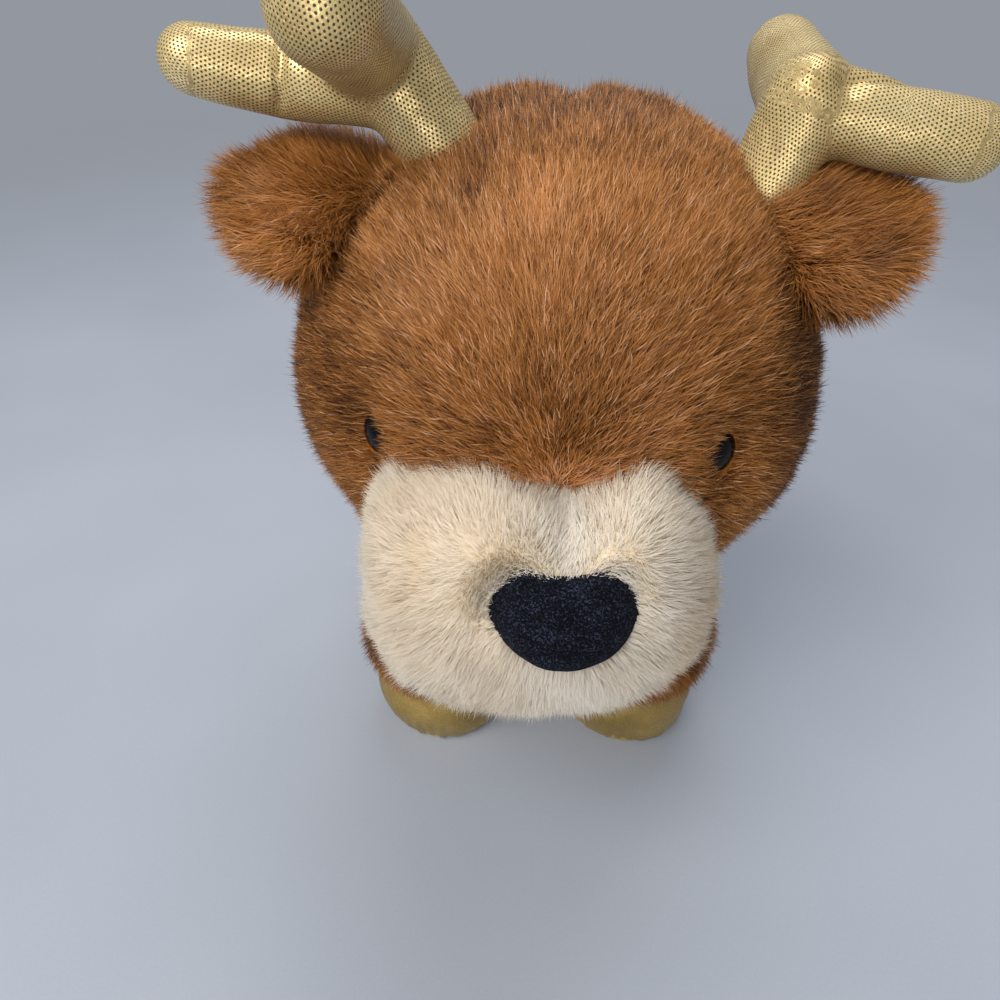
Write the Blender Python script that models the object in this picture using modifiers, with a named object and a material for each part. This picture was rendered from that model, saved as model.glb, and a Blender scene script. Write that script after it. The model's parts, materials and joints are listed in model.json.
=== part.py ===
"""Standing plush deer, 1:1, in metres, +Z up, facing -Y.

The solids are the outer form of each sewn piece: a fur cover is as thick as its backing
and pile together, a foil knit cover is a thin skin, and each cover holds its own stuffing.
Left and right are the deer's own, so its left side is at +X.
"""

import bpy
import bmesh
from math import asin, cos, pi, radians, sin, sqrt
from mathutils import Matrix, Vector

# Fabrics and clearances
PILE_WALL = 0.008
FOIL_WALL = 0.0012
SEAM_GAP = 0.0003
SWIVEL_GAP = 0.0007
OVERRUN = 0.012
MERGE_DISTANCE = 0.00005

# Head, a ball; the heights of the deer start at the table
HEAD_RADIUS = 0.076
HEAD_HEIGHT = 0.170
HEAD_SEGMENTS = 36
HEAD_RINGS = 22
LINER_SEGMENTS = 20
LINER_RINGS = 12
BALL_SEGMENTS = 18
BALL_RINGS = 12
LINER_LEVELS = 2
COVER_LEVELS = 3

# Muzzle: its middle lies inside the ball of the head, and below the head's middle
MUZZLE_WIDTH = 0.094
MUZZLE_DEPTH = 0.082
MUZZLE_HEIGHT = 0.078
MUZZLE_SINK = 0.016
MUZZLE_DROP = 0.026

# Nose pad, set into the pile of the muzzle, ahead of the muzzle's middle
NOSE_WIDTH = 0.034
NOSE_HEIGHT = 0.0245
NOSE_THICKNESS = 0.009
NOSE_AHEAD = 0.0345
NOSE_DROP = 0.0065
NOSE_TILT = radians(33.0)
NOSE_LOWER_share = 0.60
NOSE_ROUNDING_share = 0.45
NOSE_CAGE_STEPS = 2
NOSE_LEVELS = 1

# Eyes: a dome on a shank, held by a washer behind the cover
EYE_RADIUS = 0.0065
EYE_DOME = 0.0045
EYE_SHANK_RADIUS = 0.0016
EYE_SHANK_LENGTH = 0.009
EYE_SEAT_WALL = 0.002
EYE_TURN = radians(36.5)
EYE_LIFT = radians(10.0)
WASHER_RADIUS = 0.008
WASHER_THICKNESS = 0.0015
WASHER_CLEARANCE = 0.0004
EYE_STEPS = 16
DOME_STEPS = 4

# Ears: two fur panels, sewn along a pinched root that is the fold
EAR_LENGTH = 0.040
EAR_WIDTH = 0.043
EAR_THICKNESS = 0.014
EAR_GAP = 0.0008
EAR_CAGE_STEPS = 2
EAR_LEVELS = 1
EAR_PLACE_share = (0.76, -0.24, 0.535)
EAR_AXIS_share = (0.97, 0.02, 0.03)
EAR_ROOT_share = (0.06, -0.90, -0.42)
EAR_WIDTHS_share = (0.50, 0.98, 1.02, 0.74)
EAR_DEPTHS_share = (0.30, 0.86, 1.0, 0.62)

# Antlers: a beam that forks into an upper and an outer branch
ANTLER_BALL_RADIUS = 0.012
ANTLER_SEAT_DEPTH = 0.0005
BEAM_LENGTH = 0.0200
BEAM_RADIUS = 0.0118
BEAM_ROOT_RADIUS = 0.0095
FORK_RADIUS = 0.0125
UPPER_LENGTH = 0.047
UPPER_RADIUS = 0.011
OUTER_LENGTH = 0.041
OUTER_RADIUS = 0.0098
SKIN_FULLNESS_share = 1.1
BRANCH_MIDDLE_share = 0.5
BRANCH_SMOOTHING_share = 0.8
TIP_LENGTH_share = 0.5
TIP_RADIUS_share = 0.75
ROOT_MOUTH_share = 0.6
MOUTH_STEPS = 12
FLOP_DIRECTIONS_share = {
    "left": {
        "place": (0.62, -0.06, 0.78),
        "beam": (0.50, 0.15, 0.85),
        "upper": (0.27, 0.96, 0.10),
        "outer": (0.99, -0.12, 0.05),
    },
    "right": {
        "place": (-0.46, 0.0, 0.89),
        "beam": (-0.70, -0.28, 0.65),
        "upper": (0.14, -0.82, 0.55),
        "outer": (-0.97, -0.05, 0.22),
    },
}

# Body, measured from below the centre of the head
BODY_LENGTH = 0.166
BODY_WIDTH = 0.118
BODY_HEIGHT = 0.090
BELLY_HEIGHT = 0.045
CHEST_FORWARD = 0.026
BODY_ROUNDING_share = 0.45
BODY_WAIST_share = 0.08
BODY_CAGE_STEPS = 1
BODY_LEVELS = 2
BODY_LINER_LEVELS = 1

# Neck: a stuffed stub on the line from the head to the body
NECK_RADIUS = 0.034
NECK_LENGTH = 0.022
NECK_LEAN = radians(38.0)
NECK_TAPER_share = 0.8
NECK_STEPS = 28
NECK_DISH_STEPS = 8

# Legs
LEG_SPREAD = 0.040
FRONT_LEG_BACK = 0.004
HIND_LEG_BACK = 0.108
LEG_PIVOT_HEIGHT = 0.056
LEG_BALL_RADIUS = 0.025
LEG_WAIST_RADIUS = 0.0235
ANKLE_RADIUS = 0.0265
ANKLE_HEIGHT = 0.038
LEG_SWING = radians(12.0)
LEG_STEPS = 18
LEG_BALL_STEPS = 6
LEG_LINER_STEPS = 4

# Hooves
HOOF_RADIUS = 0.029
HOOF_TOP_RADIUS = 0.0235
HOOF_BELLY_HEIGHT = 0.019
HOOF_FULLNESS_share = 0.71
SOLE_RADIUS = 0.0245
SOLE_THICKNESS = 0.0015

# Tail
TAIL_LENGTH = 0.046
TAIL_RADIUS = 0.013
TAIL_BALL_RADIUS = 0.008
TAIL_HEIGHT = 0.108
TAIL_LEAN = radians(62.0)
TAIL_INSET = 0.004
TAIL_OUTLINE_share = ((0.0, 1.0), (0.5, 0.93), (0.9, 0.72), (1.0, 0.5), (0.78, 0.22))
TAIL_STEPS = 16
TAIL_BALL_STEPS = 5

# Colours: red, green, blue, then roughness and metallic
BROWN_FUR = ((0.18, 0.07, 0.025), 0.9, 0.0)
CREAM_FUR = ((0.75, 0.62, 0.43), 0.9, 0.0)
GOLD_FOIL = ((0.55, 0.46, 0.20), 0.35, 0.8)
HOOF_FOIL = ((0.32, 0.26, 0.09), 0.35, 0.8)
BLACK_FELT = ((0.008, 0.010, 0.016), 0.95, 0.0)
BLACK_GLOSS = ((0.004, 0.004, 0.004), 0.08, 0.0)
WHITE_FILL = ((0.85, 0.85, 0.83), 0.95, 0.0)
MILKY_PLASTIC = ((0.7, 0.7, 0.7), 0.5, 0.0)

PARTS = bpy.data.collections.new("plush_deer")
CUTTERS = bpy.data.collections.new("cutters")


def clear_scene():
    for item in list(bpy.data.objects):
        bpy.data.objects.remove(item)
    bpy.context.scene.collection.children.link(PARTS)
    bpy.context.scene.collection.children.link(CUTTERS)


def material(name, finish):
    colour, roughness, metallic = finish
    result = bpy.data.materials.new(name)
    result.use_nodes = True
    shader = result.node_tree.nodes["Principled BSDF"]
    shader.inputs["Base Color"].default_value = (*colour, 1.0)
    shader.inputs["Roughness"].default_value = roughness
    shader.inputs["Metallic"].default_value = metallic
    return result


def empty(name, place, parent=None):
    pivot = bpy.data.objects.new(name, None)
    pivot.location = place
    pivot.parent = parent
    PARTS.objects.link(pivot)
    return pivot


def piece(name, mesh, pivot, finish):
    """A sub-part with its own material, placed under its pivot."""
    result = bpy.data.objects.new(name, mesh)
    result.parent = pivot
    mesh.materials.append(material(name, finish))
    mesh.shade_smooth()
    PARTS.objects.link(result)
    return result


def cutter(name, mesh, pivot):
    result = bpy.data.objects.new(name, mesh)
    result.parent = pivot
    result.hide_render = True
    result.display_type = "WIRE"
    CUTTERS.objects.link(result)
    return result


def boolean(target, tool, operation="DIFFERENCE"):
    change = target.modifiers.new(f"{operation.lower()} {tool.name}", "BOOLEAN")
    change.operation = operation
    change.solver = "EXACT"
    change.object = tool


def subdivide(target, levels):
    """Smooth a cage; its faces are split the same way on a hollow and on what fills it."""
    change = target.modifiers.new("subdivision", "SUBSURF")
    change.levels = levels
    change.render_levels = levels
    target.modifiers.new("facets", "TRIANGULATE").quad_method = "FIXED"


def ball(name, radius, segments, rings, centre=(0.0, 0.0, 0.0)):
    shape = bmesh.new()
    bmesh.ops.create_uvsphere(shape, u_segments=segments, v_segments=rings, radius=radius)
    bmesh.ops.translate(shape, verts=shape.verts, vec=centre)
    mesh = bpy.data.meshes.new(name)
    shape.to_mesh(mesh)
    shape.free()
    return mesh


def profile(name, points, closed=False):
    """The half outline of a turned piece, as (radius, height) from top to bottom."""
    mesh = bpy.data.meshes.new(name)
    edges = [(index, index + 1) for index in range(len(points) - 1)]
    if closed:
        edges.append((len(points) - 1, 0))
    mesh.from_pydata([(radius, 0.0, height) for radius, height in points], edges, [])
    return mesh


def turn(target, steps):
    change = target.modifiers.new("turned", "SCREW")
    change.steps = steps
    change.render_steps = steps
    change.use_merge_vertices = True
    change.merge_threshold = MERGE_DISTANCE
    change.use_smooth_shade = True


def arc(radius, start, end, count, centre_height=0.0):
    """Points of a profile along a circle, with angles measured down from the top."""
    turns = [start + (end - start) * index / count for index in range(count + 1)]
    return [(max(radius * sin(angle), 0.0), centre_height + radius * cos(angle)) for angle in turns]


def bake(target, name):
    """The evaluated mesh of an object, as a mesh of its own."""
    bpy.context.view_layer.update()
    graph = bpy.context.evaluated_depsgraph_get()
    mesh = bpy.data.meshes.new_from_object(target.evaluated_get(graph))
    mesh.name = name
    return mesh


def soft_form(name, size, cuts, levels, shape=None):
    """A box cage under Subdivision Surface, scaled so that the soft form has the given size."""
    cage = bmesh.new()
    bmesh.ops.create_cube(cage, size=1.0)
    if cuts:
        bmesh.ops.subdivide_edges(cage, edges=cage.edges, cuts=cuts, use_grid_fill=True)
    if shape:
        for corner in cage.verts:
            corner.co = shape(corner.co)
    mesh = bpy.data.meshes.new(name)
    cage.to_mesh(mesh)
    cage.free()
    trial = bpy.data.objects.new(name, mesh)
    CUTTERS.objects.link(trial)
    subdivide(trial, levels)
    soft = bake(trial, name)
    bpy.data.objects.remove(trial)
    for axis in range(3):
        values = [corner.co[axis] for corner in soft.vertices]
        reach = max(values) - min(values)
        middle = (max(values) + min(values)) / 2
        for corner in mesh.vertices:
            corner.co[axis] = (corner.co[axis] - middle) * size[axis] / reach
    return mesh


def head_liner_radius():
    return HEAD_RADIUS - PILE_WALL


def make_head(pivot):
    cover_mesh = ball("head_cover", HEAD_RADIUS, HEAD_SEGMENTS, HEAD_RINGS)
    cover = piece("head_cover", cover_mesh, pivot, BROWN_FUR)
    hollow_mesh = ball("head_hollow", head_liner_radius(), LINER_SEGMENTS, LINER_RINGS)
    hollow = cutter("head_hollow", hollow_mesh, pivot)
    boolean(cover, hollow)
    fill_radius = head_liner_radius() - SEAM_GAP
    fill_mesh = ball("head_stuffing", fill_radius, LINER_SEGMENTS, LINER_RINGS)
    fill = piece("head_stuffing", fill_mesh, pivot, WHITE_FILL)
    return cover, fill


def muzzle_size(inset):
    return [side - 2 * inset for side in (MUZZLE_WIDTH, MUZZLE_DEPTH, MUZZLE_HEIGHT)]


def muzzle_place():
    return Vector((0.0, MUZZLE_SINK - HEAD_RADIUS, -MUZZLE_DROP))


def make_muzzle(pivot):
    """The muzzle bulges from the front of the head and is sewn to it all round."""
    place = muzzle_place()
    cover_mesh = soft_form("muzzle_cover", muzzle_size(0.0), 0, COVER_LEVELS)
    cover = piece("muzzle_cover", cover_mesh, pivot, CREAM_FUR)
    fill_mesh = soft_form("muzzle_stuffing", muzzle_size(PILE_WALL + SEAM_GAP), 0, LINER_LEVELS)
    fill = piece("muzzle_stuffing", fill_mesh, pivot, WHITE_FILL)
    hollow_mesh = soft_form("muzzle_hollow", muzzle_size(PILE_WALL), 0, LINER_LEVELS)
    hollow = cutter("muzzle_hollow", hollow_mesh, pivot)
    face_mesh = ball("face_of_head", HEAD_RADIUS + SEAM_GAP, HEAD_SEGMENTS, HEAD_RINGS)
    face = cutter("face_of_head", face_mesh, pivot)
    for item, levels in ((cover, COVER_LEVELS), (fill, LINER_LEVELS), (hollow, LINER_LEVELS)):
        item.location = place
        subdivide(item, levels)
    boolean(cover, hollow)
    boolean(cover, face)
    boolean(fill, face)
    return cover, fill


def rounded(corner, share):
    """A point of the unit box cage, moved this share of the way to the ball inside it."""
    return corner.lerp(corner.normalized() / 2, share)


def nose_outline(corner):
    """Wide and level at the top, narrower at the bottom, with soft corners."""
    soft = rounded(corner, NOSE_ROUNDING_share)
    taper = 1.0 - (1.0 - NOSE_LOWER_share) * (0.5 - soft.z)
    return Vector((soft.x * taper, soft.y, soft.z))


def make_nose(pivot, muzzle_cover):
    place = Vector((0.0, muzzle_place().y - NOSE_AHEAD, -NOSE_DROP))
    size = Vector((NOSE_WIDTH, NOSE_THICKNESS, NOSE_HEIGHT))
    pad_mesh = soft_form("nose_pad", size, NOSE_CAGE_STEPS, NOSE_LEVELS, nose_outline)
    pad = piece("nose_pad", pad_mesh, pivot, BLACK_FELT)
    seat_size = [side + 2 * SEAM_GAP for side in size]
    seat_mesh = soft_form("nose_seat", seat_size, NOSE_CAGE_STEPS, NOSE_LEVELS, nose_outline)
    seat = cutter("nose_seat", seat_mesh, pivot)
    for item in (pad, seat):
        item.location = place
        item.rotation_euler.x = -NOSE_TILT
        subdivide(item, NOSE_LEVELS)
    boolean(muzzle_cover, seat)


def eye_profile():
    """Dome, flat back and shank; the height 0 is the back of the dome."""
    angles = [pi / 2 * index / DOME_STEPS for index in range(DOME_STEPS + 1)]
    dome = [(EYE_RADIUS * sin(angle), EYE_DOME * cos(angle)) for angle in angles]
    foot = -EYE_SHANK_LENGTH
    return dome + [(EYE_SHANK_RADIUS, 0.0), (EYE_SHANK_RADIUS, foot), (0.0, foot)]


def washer_profile():
    bore = EYE_SHANK_RADIUS + WASHER_CLEARANCE
    top = -EYE_SEAT_WALL - 2 * SEAM_GAP
    bottom = top - WASHER_THICKNESS
    return [(bore, top), (WASHER_RADIUS, top), (WASHER_RADIUS, bottom), (bore, bottom)]


def eye_well_profile():
    """The pile parted round the eye, and the shank's hole through the backing."""
    well = EYE_RADIUS + SEAM_GAP
    hole = EYE_SHANK_RADIUS + SEAM_GAP
    floor = -SEAM_GAP
    depth = -EYE_SHANK_LENGTH - OVERRUN
    return [(0.0, OVERRUN), (well, OVERRUN), (well, floor), (hole, floor), (hole, depth), (0.0, depth)]


def washer_well_profile():
    """The hollow behind the backing for the washer and the end of the shank."""
    top = -EYE_SEAT_WALL - SEAM_GAP
    wide = WASHER_RADIUS + SEAM_GAP
    narrow = EYE_SHANK_RADIUS + SEAM_GAP
    shelf = -EYE_SEAT_WALL - 3 * SEAM_GAP - WASHER_THICKNESS
    depth = -EYE_SHANK_LENGTH - SEAM_GAP
    return [(0.0, top), (wide, top), (wide, shelf), (narrow, shelf), (narrow, depth), (0.0, depth)]


def make_eyes(pivot, head_cover, head_fill):
    seat = head_liner_radius() + EYE_SEAT_WALL + SEAM_GAP
    for side, sign in (("left", 1), ("right", -1)):
        level = cos(EYE_LIFT)
        look = Vector((sign * sin(EYE_TURN) * level, -cos(EYE_TURN) * level, sin(EYE_LIFT)))
        eye = piece(f"eye_{side}", profile("eye", eye_profile()), pivot, BLACK_GLOSS)
        washer_mesh = profile("washer", washer_profile(), True)
        washer = piece(f"eye_washer_{side}", washer_mesh, pivot, MILKY_PLASTIC)
        well = cutter(f"eye_well_{side}", profile("eye_well", eye_well_profile()), pivot)
        pocket = cutter(f"washer_well_{side}", profile("washer_well", washer_well_profile()), pivot)
        for item in (eye, washer, well, pocket):
            item.location = look * seat
            item.rotation_euler = look.to_track_quat("Z", "Y").to_euler()
            turn(item, EYE_STEPS)
        boolean(head_cover, well)
        boolean(head_cover, pocket)
        boolean(head_fill, pocket)


def ear_leaf(place_in_leaf):
    """A leaf cage: x runs from the root to the tip, y along the root line, z through it."""
    along = place_in_leaf.x + 0.5
    spot = along * (len(EAR_WIDTHS_share) - 1)
    row = round(spot)
    width = EAR_WIDTHS_share[row]
    depth = EAR_DEPTHS_share[row]
    return Vector((place_in_leaf.x, place_in_leaf.y * width, place_in_leaf.z * depth))


def leaf_axes(sign):
    """The slanted axes of an ear: its length, its root line and its normal."""
    mirror = Vector((sign, 1.0, 1.0))
    along = (Vector(EAR_AXIS_share) * mirror).normalized()
    root = (Vector(EAR_ROOT_share) * mirror).normalized()
    return along, root, along.cross(root).normalized()


def make_ear(side, sign, root_pivot):
    along, root, normal = leaf_axes(sign)
    slant = Matrix((along, root, normal)).transposed().to_4x4()
    size = (EAR_LENGTH, EAR_WIDTH, EAR_THICKNESS)
    front_is = -1 if normal.y > 0 else 1
    for panel, half in (("front", front_is), ("back", -front_is)):
        mesh = soft_form(f"ear_{side}_{panel}", size, EAR_CAGE_STEPS, EAR_LEVELS, ear_leaf)
        mesh.transform(Matrix.Translation((EAR_LENGTH / 2, 0.0, 0.0)))
        item = piece(f"ear_{side}_{panel}", mesh, root_pivot, BROWN_FUR)
        subdivide(item, EAR_LEVELS)
        block = bmesh.new()
        bmesh.ops.create_cube(block, size=1.0)
        around = 2 * OVERRUN
        span = Vector((EAR_LENGTH + around, EAR_WIDTH + around, EAR_THICKNESS + OVERRUN))
        bmesh.ops.scale(block, vec=span, verts=block.verts)
        shift = -half * (span.z / 2 - SEAM_GAP / 2)
        bmesh.ops.translate(block, vec=(EAR_LENGTH / 2, 0.0, shift), verts=block.verts)
        other_mesh = bpy.data.meshes.new(f"ear_{side}_{panel}_seam")
        block.to_mesh(other_mesh)
        block.free()
        other = cutter(f"ear_{side}_{panel}_seam", other_mesh, root_pivot)
        for shape in (mesh, other_mesh):
            shape.transform(slant)
            if slant.determinant() < 0:
                shape.flip_normals()
        boolean(item, other)


def skin_mesh(name, points, links, sizes):
    """A stuffed branching form grown round a skeleton of points."""
    skeleton = bmesh.new()
    layer = skeleton.verts.layers.skin.verify()
    knots = []
    for point, size in zip(points, sizes):
        knot = skeleton.verts.new(point)
        knot[layer].radius = (size * SKIN_FULLNESS_share, size * SKIN_FULLNESS_share)
        knots.append(knot)
    knots[0][layer].use_root = True
    for first, second in links:
        skeleton.edges.new((knots[first], knots[second]))
    mesh = bpy.data.meshes.new(name)
    skeleton.to_mesh(mesh)
    skeleton.free()
    grown = bpy.data.objects.new(name, mesh)
    CUTTERS.objects.link(grown)
    grown.modifiers.new("skin", "SKIN").branch_smoothing = BRANCH_SMOOTHING_share
    subdivide(grown, 1)
    result = bake(grown, name)
    bpy.data.objects.remove(grown)
    facets = bmesh.new()
    facets.from_mesh(result)
    bmesh.ops.triangulate(facets, faces=facets.faces)
    facets.to_mesh(result)
    facets.free()
    return result


def antler_form(name, side):
    """Beam, fork and two branches, grown from the pivot."""
    way = {key: Vector(value).normalized() for key, value in FLOP_DIRECTIONS_share[side].items()}
    fork = way["beam"] * BEAM_LENGTH
    points = [
        Vector(),
        way["beam"] * (BEAM_LENGTH * BRANCH_MIDDLE_share),
        fork,
        fork + way["upper"] * (UPPER_LENGTH * BRANCH_MIDDLE_share),
        fork + way["upper"] * (UPPER_LENGTH - UPPER_RADIUS * TIP_LENGTH_share),
        fork + way["upper"] * UPPER_LENGTH,
        fork + way["outer"] * (OUTER_LENGTH * BRANCH_MIDDLE_share),
        fork + way["outer"] * (OUTER_LENGTH - OUTER_RADIUS * TIP_LENGTH_share),
        fork + way["outer"] * OUTER_LENGTH,
    ]
    links = [(0, 1), (1, 2), (2, 3), (3, 4), (4, 5), (2, 6), (6, 7), (7, 8)]
    sizes = [BEAM_ROOT_RADIUS, BEAM_RADIUS, FORK_RADIUS]
    for radius in (UPPER_RADIUS, OUTER_RADIUS):
        sizes += [radius, radius, radius * TIP_RADIUS_share]
    return skin_mesh(name, points, links, sizes)


def shrunk(mesh, depth, name):
    """A copy of a closed form, drawn in along its normals."""
    result = mesh.copy()
    result.name = name
    for corner, normal in zip(result.vertices, mesh.vertex_normals):
        corner.co -= normal.vector * depth
    return result


def make_antler(side, pivot, head_cover, head_fill):
    """A foil knit cover on a ball root that sits in a dimple of the head."""
    form = antler_form(f"antler_{side}", side)
    hollow_form = shrunk(form, FOIL_WALL, "antler_hollow")
    fill_form = shrunk(hollow_form, SEAM_GAP, "antler_fill")
    cover = piece(f"antler_{side}_cover", form, pivot, GOLD_FOIL)
    piece(f"antler_{side}_stuffing", fill_form, pivot, WHITE_FILL)
    root_mesh = ball("antler_root", ANTLER_BALL_RADIUS, BALL_SEGMENTS, BALL_RINGS)
    root = cutter(f"antler_{side}_root", root_mesh, pivot)
    hollow = cutter(f"antler_{side}_hollow", hollow_form, pivot)
    mouth_radius = (BEAM_ROOT_RADIUS - FOIL_WALL) * ROOT_MOUTH_share
    mouth_top = BEAM_LENGTH * BRANCH_MIDDLE_share
    mouth_foot = -BEAM_RADIUS - OVERRUN
    mouth_side = [(mouth_radius, mouth_top), (mouth_radius, mouth_foot)]
    mouth_points = [(0.0, mouth_top)] + mouth_side + [(0.0, mouth_foot)]
    mouth = cutter(f"antler_{side}_mouth", profile("antler_mouth", mouth_points), pivot)
    beam = Vector(FLOP_DIRECTIONS_share[side]["beam"])
    mouth.rotation_euler = beam.to_track_quat("Z", "Y").to_euler()
    turn(mouth, MOUTH_STEPS)
    boolean(cover, root, "UNION")
    boolean(cover, hollow)
    boolean(cover, mouth)
    dimple_mesh = ball("antler_dimple", ANTLER_BALL_RADIUS + SWIVEL_GAP, BALL_SEGMENTS, BALL_RINGS)
    dimple = cutter(f"antler_{side}_dimple", dimple_mesh, pivot)
    boolean(head_cover, dimple)
    boolean(head_fill, dimple)


def body_shape(corner):
    """Round at the chest and the rump, and a little drawn in at the waist."""
    soft = rounded(corner, BODY_ROUNDING_share)
    waist = 1.0 - BODY_WAIST_share * cos(pi * soft.y)
    return Vector((soft.x * waist, soft.y, soft.z))


def make_body(pivot):
    size = Vector((BODY_WIDTH, BODY_LENGTH, BODY_HEIGHT))
    cover_mesh = soft_form("body_cover", size, BODY_CAGE_STEPS, BODY_LEVELS, body_shape)
    cover = piece("body_cover", cover_mesh, pivot, BROWN_FUR)
    hollow_size = [side - 2 * PILE_WALL for side in size]
    hollow_mesh = soft_form("body_hollow", hollow_size, BODY_CAGE_STEPS, BODY_LINER_LEVELS, body_shape)
    hollow = cutter("body_hollow", hollow_mesh, pivot)
    fill_size = [side - 2 * (PILE_WALL + SEAM_GAP) for side in size]
    fill_mesh = soft_form("body_stuffing", fill_size, BODY_CAGE_STEPS, BODY_LINER_LEVELS, body_shape)
    fill = piece("body_stuffing", fill_mesh, pivot, WHITE_FILL)
    for item, levels in ((cover, BODY_LEVELS), (hollow, BODY_LINER_LEVELS), (fill, BODY_LINER_LEVELS)):
        item.location = (0.0, BODY_LENGTH / 2 - CHEST_FORWARD, BELLY_HEIGHT + BODY_HEIGHT / 2)
        subdivide(item, levels)
    boolean(cover, hollow)
    return cover, fill


def neck_line():
    """The direction from the head to the body."""
    return Vector((0.0, sin(NECK_LEAN), -cos(NECK_LEAN)))


def make_neck(head_pivot, body_pieces):
    """A stub whose dished top carries the head and whose foot is held in the body."""
    dish = HEAD_RADIUS + SWIVEL_GAP
    reach = dish + NECK_LENGTH
    rim = sqrt(dish**2 - NECK_RADIUS**2)
    rim_turn = pi - asin(NECK_RADIUS / dish)
    dished = arc(dish, pi, rim_turn, NECK_DISH_STEPS)
    side = [(NECK_RADIUS, -rim - NECK_LENGTH / 2)]
    foot = [(NECK_RADIUS * NECK_TAPER_share, -reach), (0.0, -reach)]
    stub = piece("neck", profile("neck", dished + side + foot), head_pivot, BROWN_FUR)
    bore = NECK_RADIUS + SWIVEL_GAP
    bore_foot = bore - NECK_RADIUS * (1.0 - NECK_TAPER_share)
    bore_points = [
        (0.0, -rim + OVERRUN),
        (bore, -rim + OVERRUN),
        (bore, -rim - NECK_LENGTH / 2),
        (bore_foot, -reach - SWIVEL_GAP),
        (0.0, -reach - SWIVEL_GAP),
    ]
    socket = cutter("neck_socket", profile("neck_socket", bore_points), head_pivot)
    saddle_mesh = ball("head_saddle", HEAD_RADIUS + SWIVEL_GAP, HEAD_SEGMENTS, HEAD_RINGS)
    saddle = cutter("head_saddle", saddle_mesh, head_pivot)
    for item in (stub, socket):
        item.rotation_euler = (-neck_line()).to_track_quat("Z", "Y").to_euler()
        turn(item, NECK_STEPS)
    for item in body_pieces:
        boolean(item, saddle)
        boolean(item, socket)


def leg_side(inset, count):
    """The outer side of a leg from the top of its ball to the ankle, thinner by inset."""
    radius = LEG_BALL_RADIUS - inset
    top = arc(radius, 0.0, pi / 2, count)
    waist_height = -(LEG_PIVOT_HEIGHT - ANKLE_HEIGHT) / 2
    return top + [(LEG_WAIST_RADIUS - inset, waist_height)]


def make_leg(name, place, root, body_pieces):
    """A fur leg that swings on its ball, with a foil hoof sewn to the ankle."""
    pivot = empty(f"leg_{name}_pivot", place, root)
    ankle = ANKLE_HEIGHT - LEG_PIVOT_HEIGHT
    ground = -LEG_PIVOT_HEIGHT
    outside = leg_side(0.0, LEG_BALL_STEPS) + [(ANKLE_RADIUS, ankle)]
    inside = [(ANKLE_RADIUS - PILE_WALL, ankle)] + leg_side(PILE_WALL, LEG_LINER_STEPS)[::-1]
    cover = piece(f"leg_{name}_cover", profile("leg_cover", outside + inside), pivot, BROWN_FUR)
    hoof = piece(f"hoof_{name}_cover", profile("hoof", hoof_ring(ankle, ground), True), pivot, HOOF_FOIL)
    sole_points = [
        (0.0, ground + SOLE_THICKNESS),
        (SOLE_RADIUS, ground + SOLE_THICKNESS),
        (SOLE_RADIUS, ground),
        (0.0, ground),
    ]
    sole = piece(f"hoof_{name}_sole", profile("sole", sole_points), pivot, HOOF_FOIL)
    shrink = FOIL_WALL + SEAM_GAP
    fill_points = leg_side(PILE_WALL + SEAM_GAP, LEG_LINER_STEPS)
    fill_points += [
        (ANKLE_RADIUS - PILE_WALL - SEAM_GAP, ankle),
        (HOOF_TOP_RADIUS - shrink, ankle - SEAM_GAP),
        (HOOF_RADIUS - shrink, ground + HOOF_BELLY_HEIGHT),
        (SOLE_RADIUS - shrink, ground + SOLE_THICKNESS + SEAM_GAP),
        (0.0, ground + SOLE_THICKNESS + SEAM_GAP),
    ]
    fill = piece(f"leg_{name}_stuffing", profile("leg_stuffing", fill_points), pivot, WHITE_FILL)
    for item in (cover, hoof, sole, fill):
        turn(item, LEG_STEPS)
    radius = LEG_BALL_RADIUS + SWIVEL_GAP
    flare = radius + (LEG_PIVOT_HEIGHT - ground) * sin(LEG_SWING)
    socket_points = arc(radius, 0.0, pi / 2, LEG_BALL_STEPS) + [(flare, ground), (0.0, ground)]
    socket = cutter(f"leg_{name}_socket", profile("leg_socket", socket_points), pivot)
    turn(socket, LEG_STEPS)
    for item in body_pieces:
        boolean(item, socket)


def hoof_ring(ankle, ground):
    """The hoof's foil cover: a thin bulging ring, open to the ankle and to the sole."""
    top = ankle - SEAM_GAP
    low = ground
    belly = ground + HOOF_BELLY_HEIGHT
    rise = (top - belly) / 2
    drop = HOOF_BELLY_HEIGHT / 2
    shoulder = HOOF_TOP_RADIUS + (HOOF_RADIUS - HOOF_TOP_RADIUS) * HOOF_FULLNESS_share
    heel = SOLE_RADIUS + (HOOF_RADIUS - SOLE_RADIUS) * HOOF_FULLNESS_share
    rim = SOLE_RADIUS + SEAM_GAP
    outside = [
        (HOOF_TOP_RADIUS, top),
        (shoulder, belly + rise),
        (HOOF_RADIUS, belly),
        (heel + SEAM_GAP + FOIL_WALL / 2, belly - drop),
        (rim + FOIL_WALL, low),
    ]
    inside = [
        (rim, low),
        (heel + SEAM_GAP - FOIL_WALL / 2, belly - drop),
        (HOOF_RADIUS - FOIL_WALL, belly),
        (shoulder - FOIL_WALL, belly + rise),
        (HOOF_TOP_RADIUS - FOIL_WALL, top),
    ]
    return outside + inside


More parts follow.
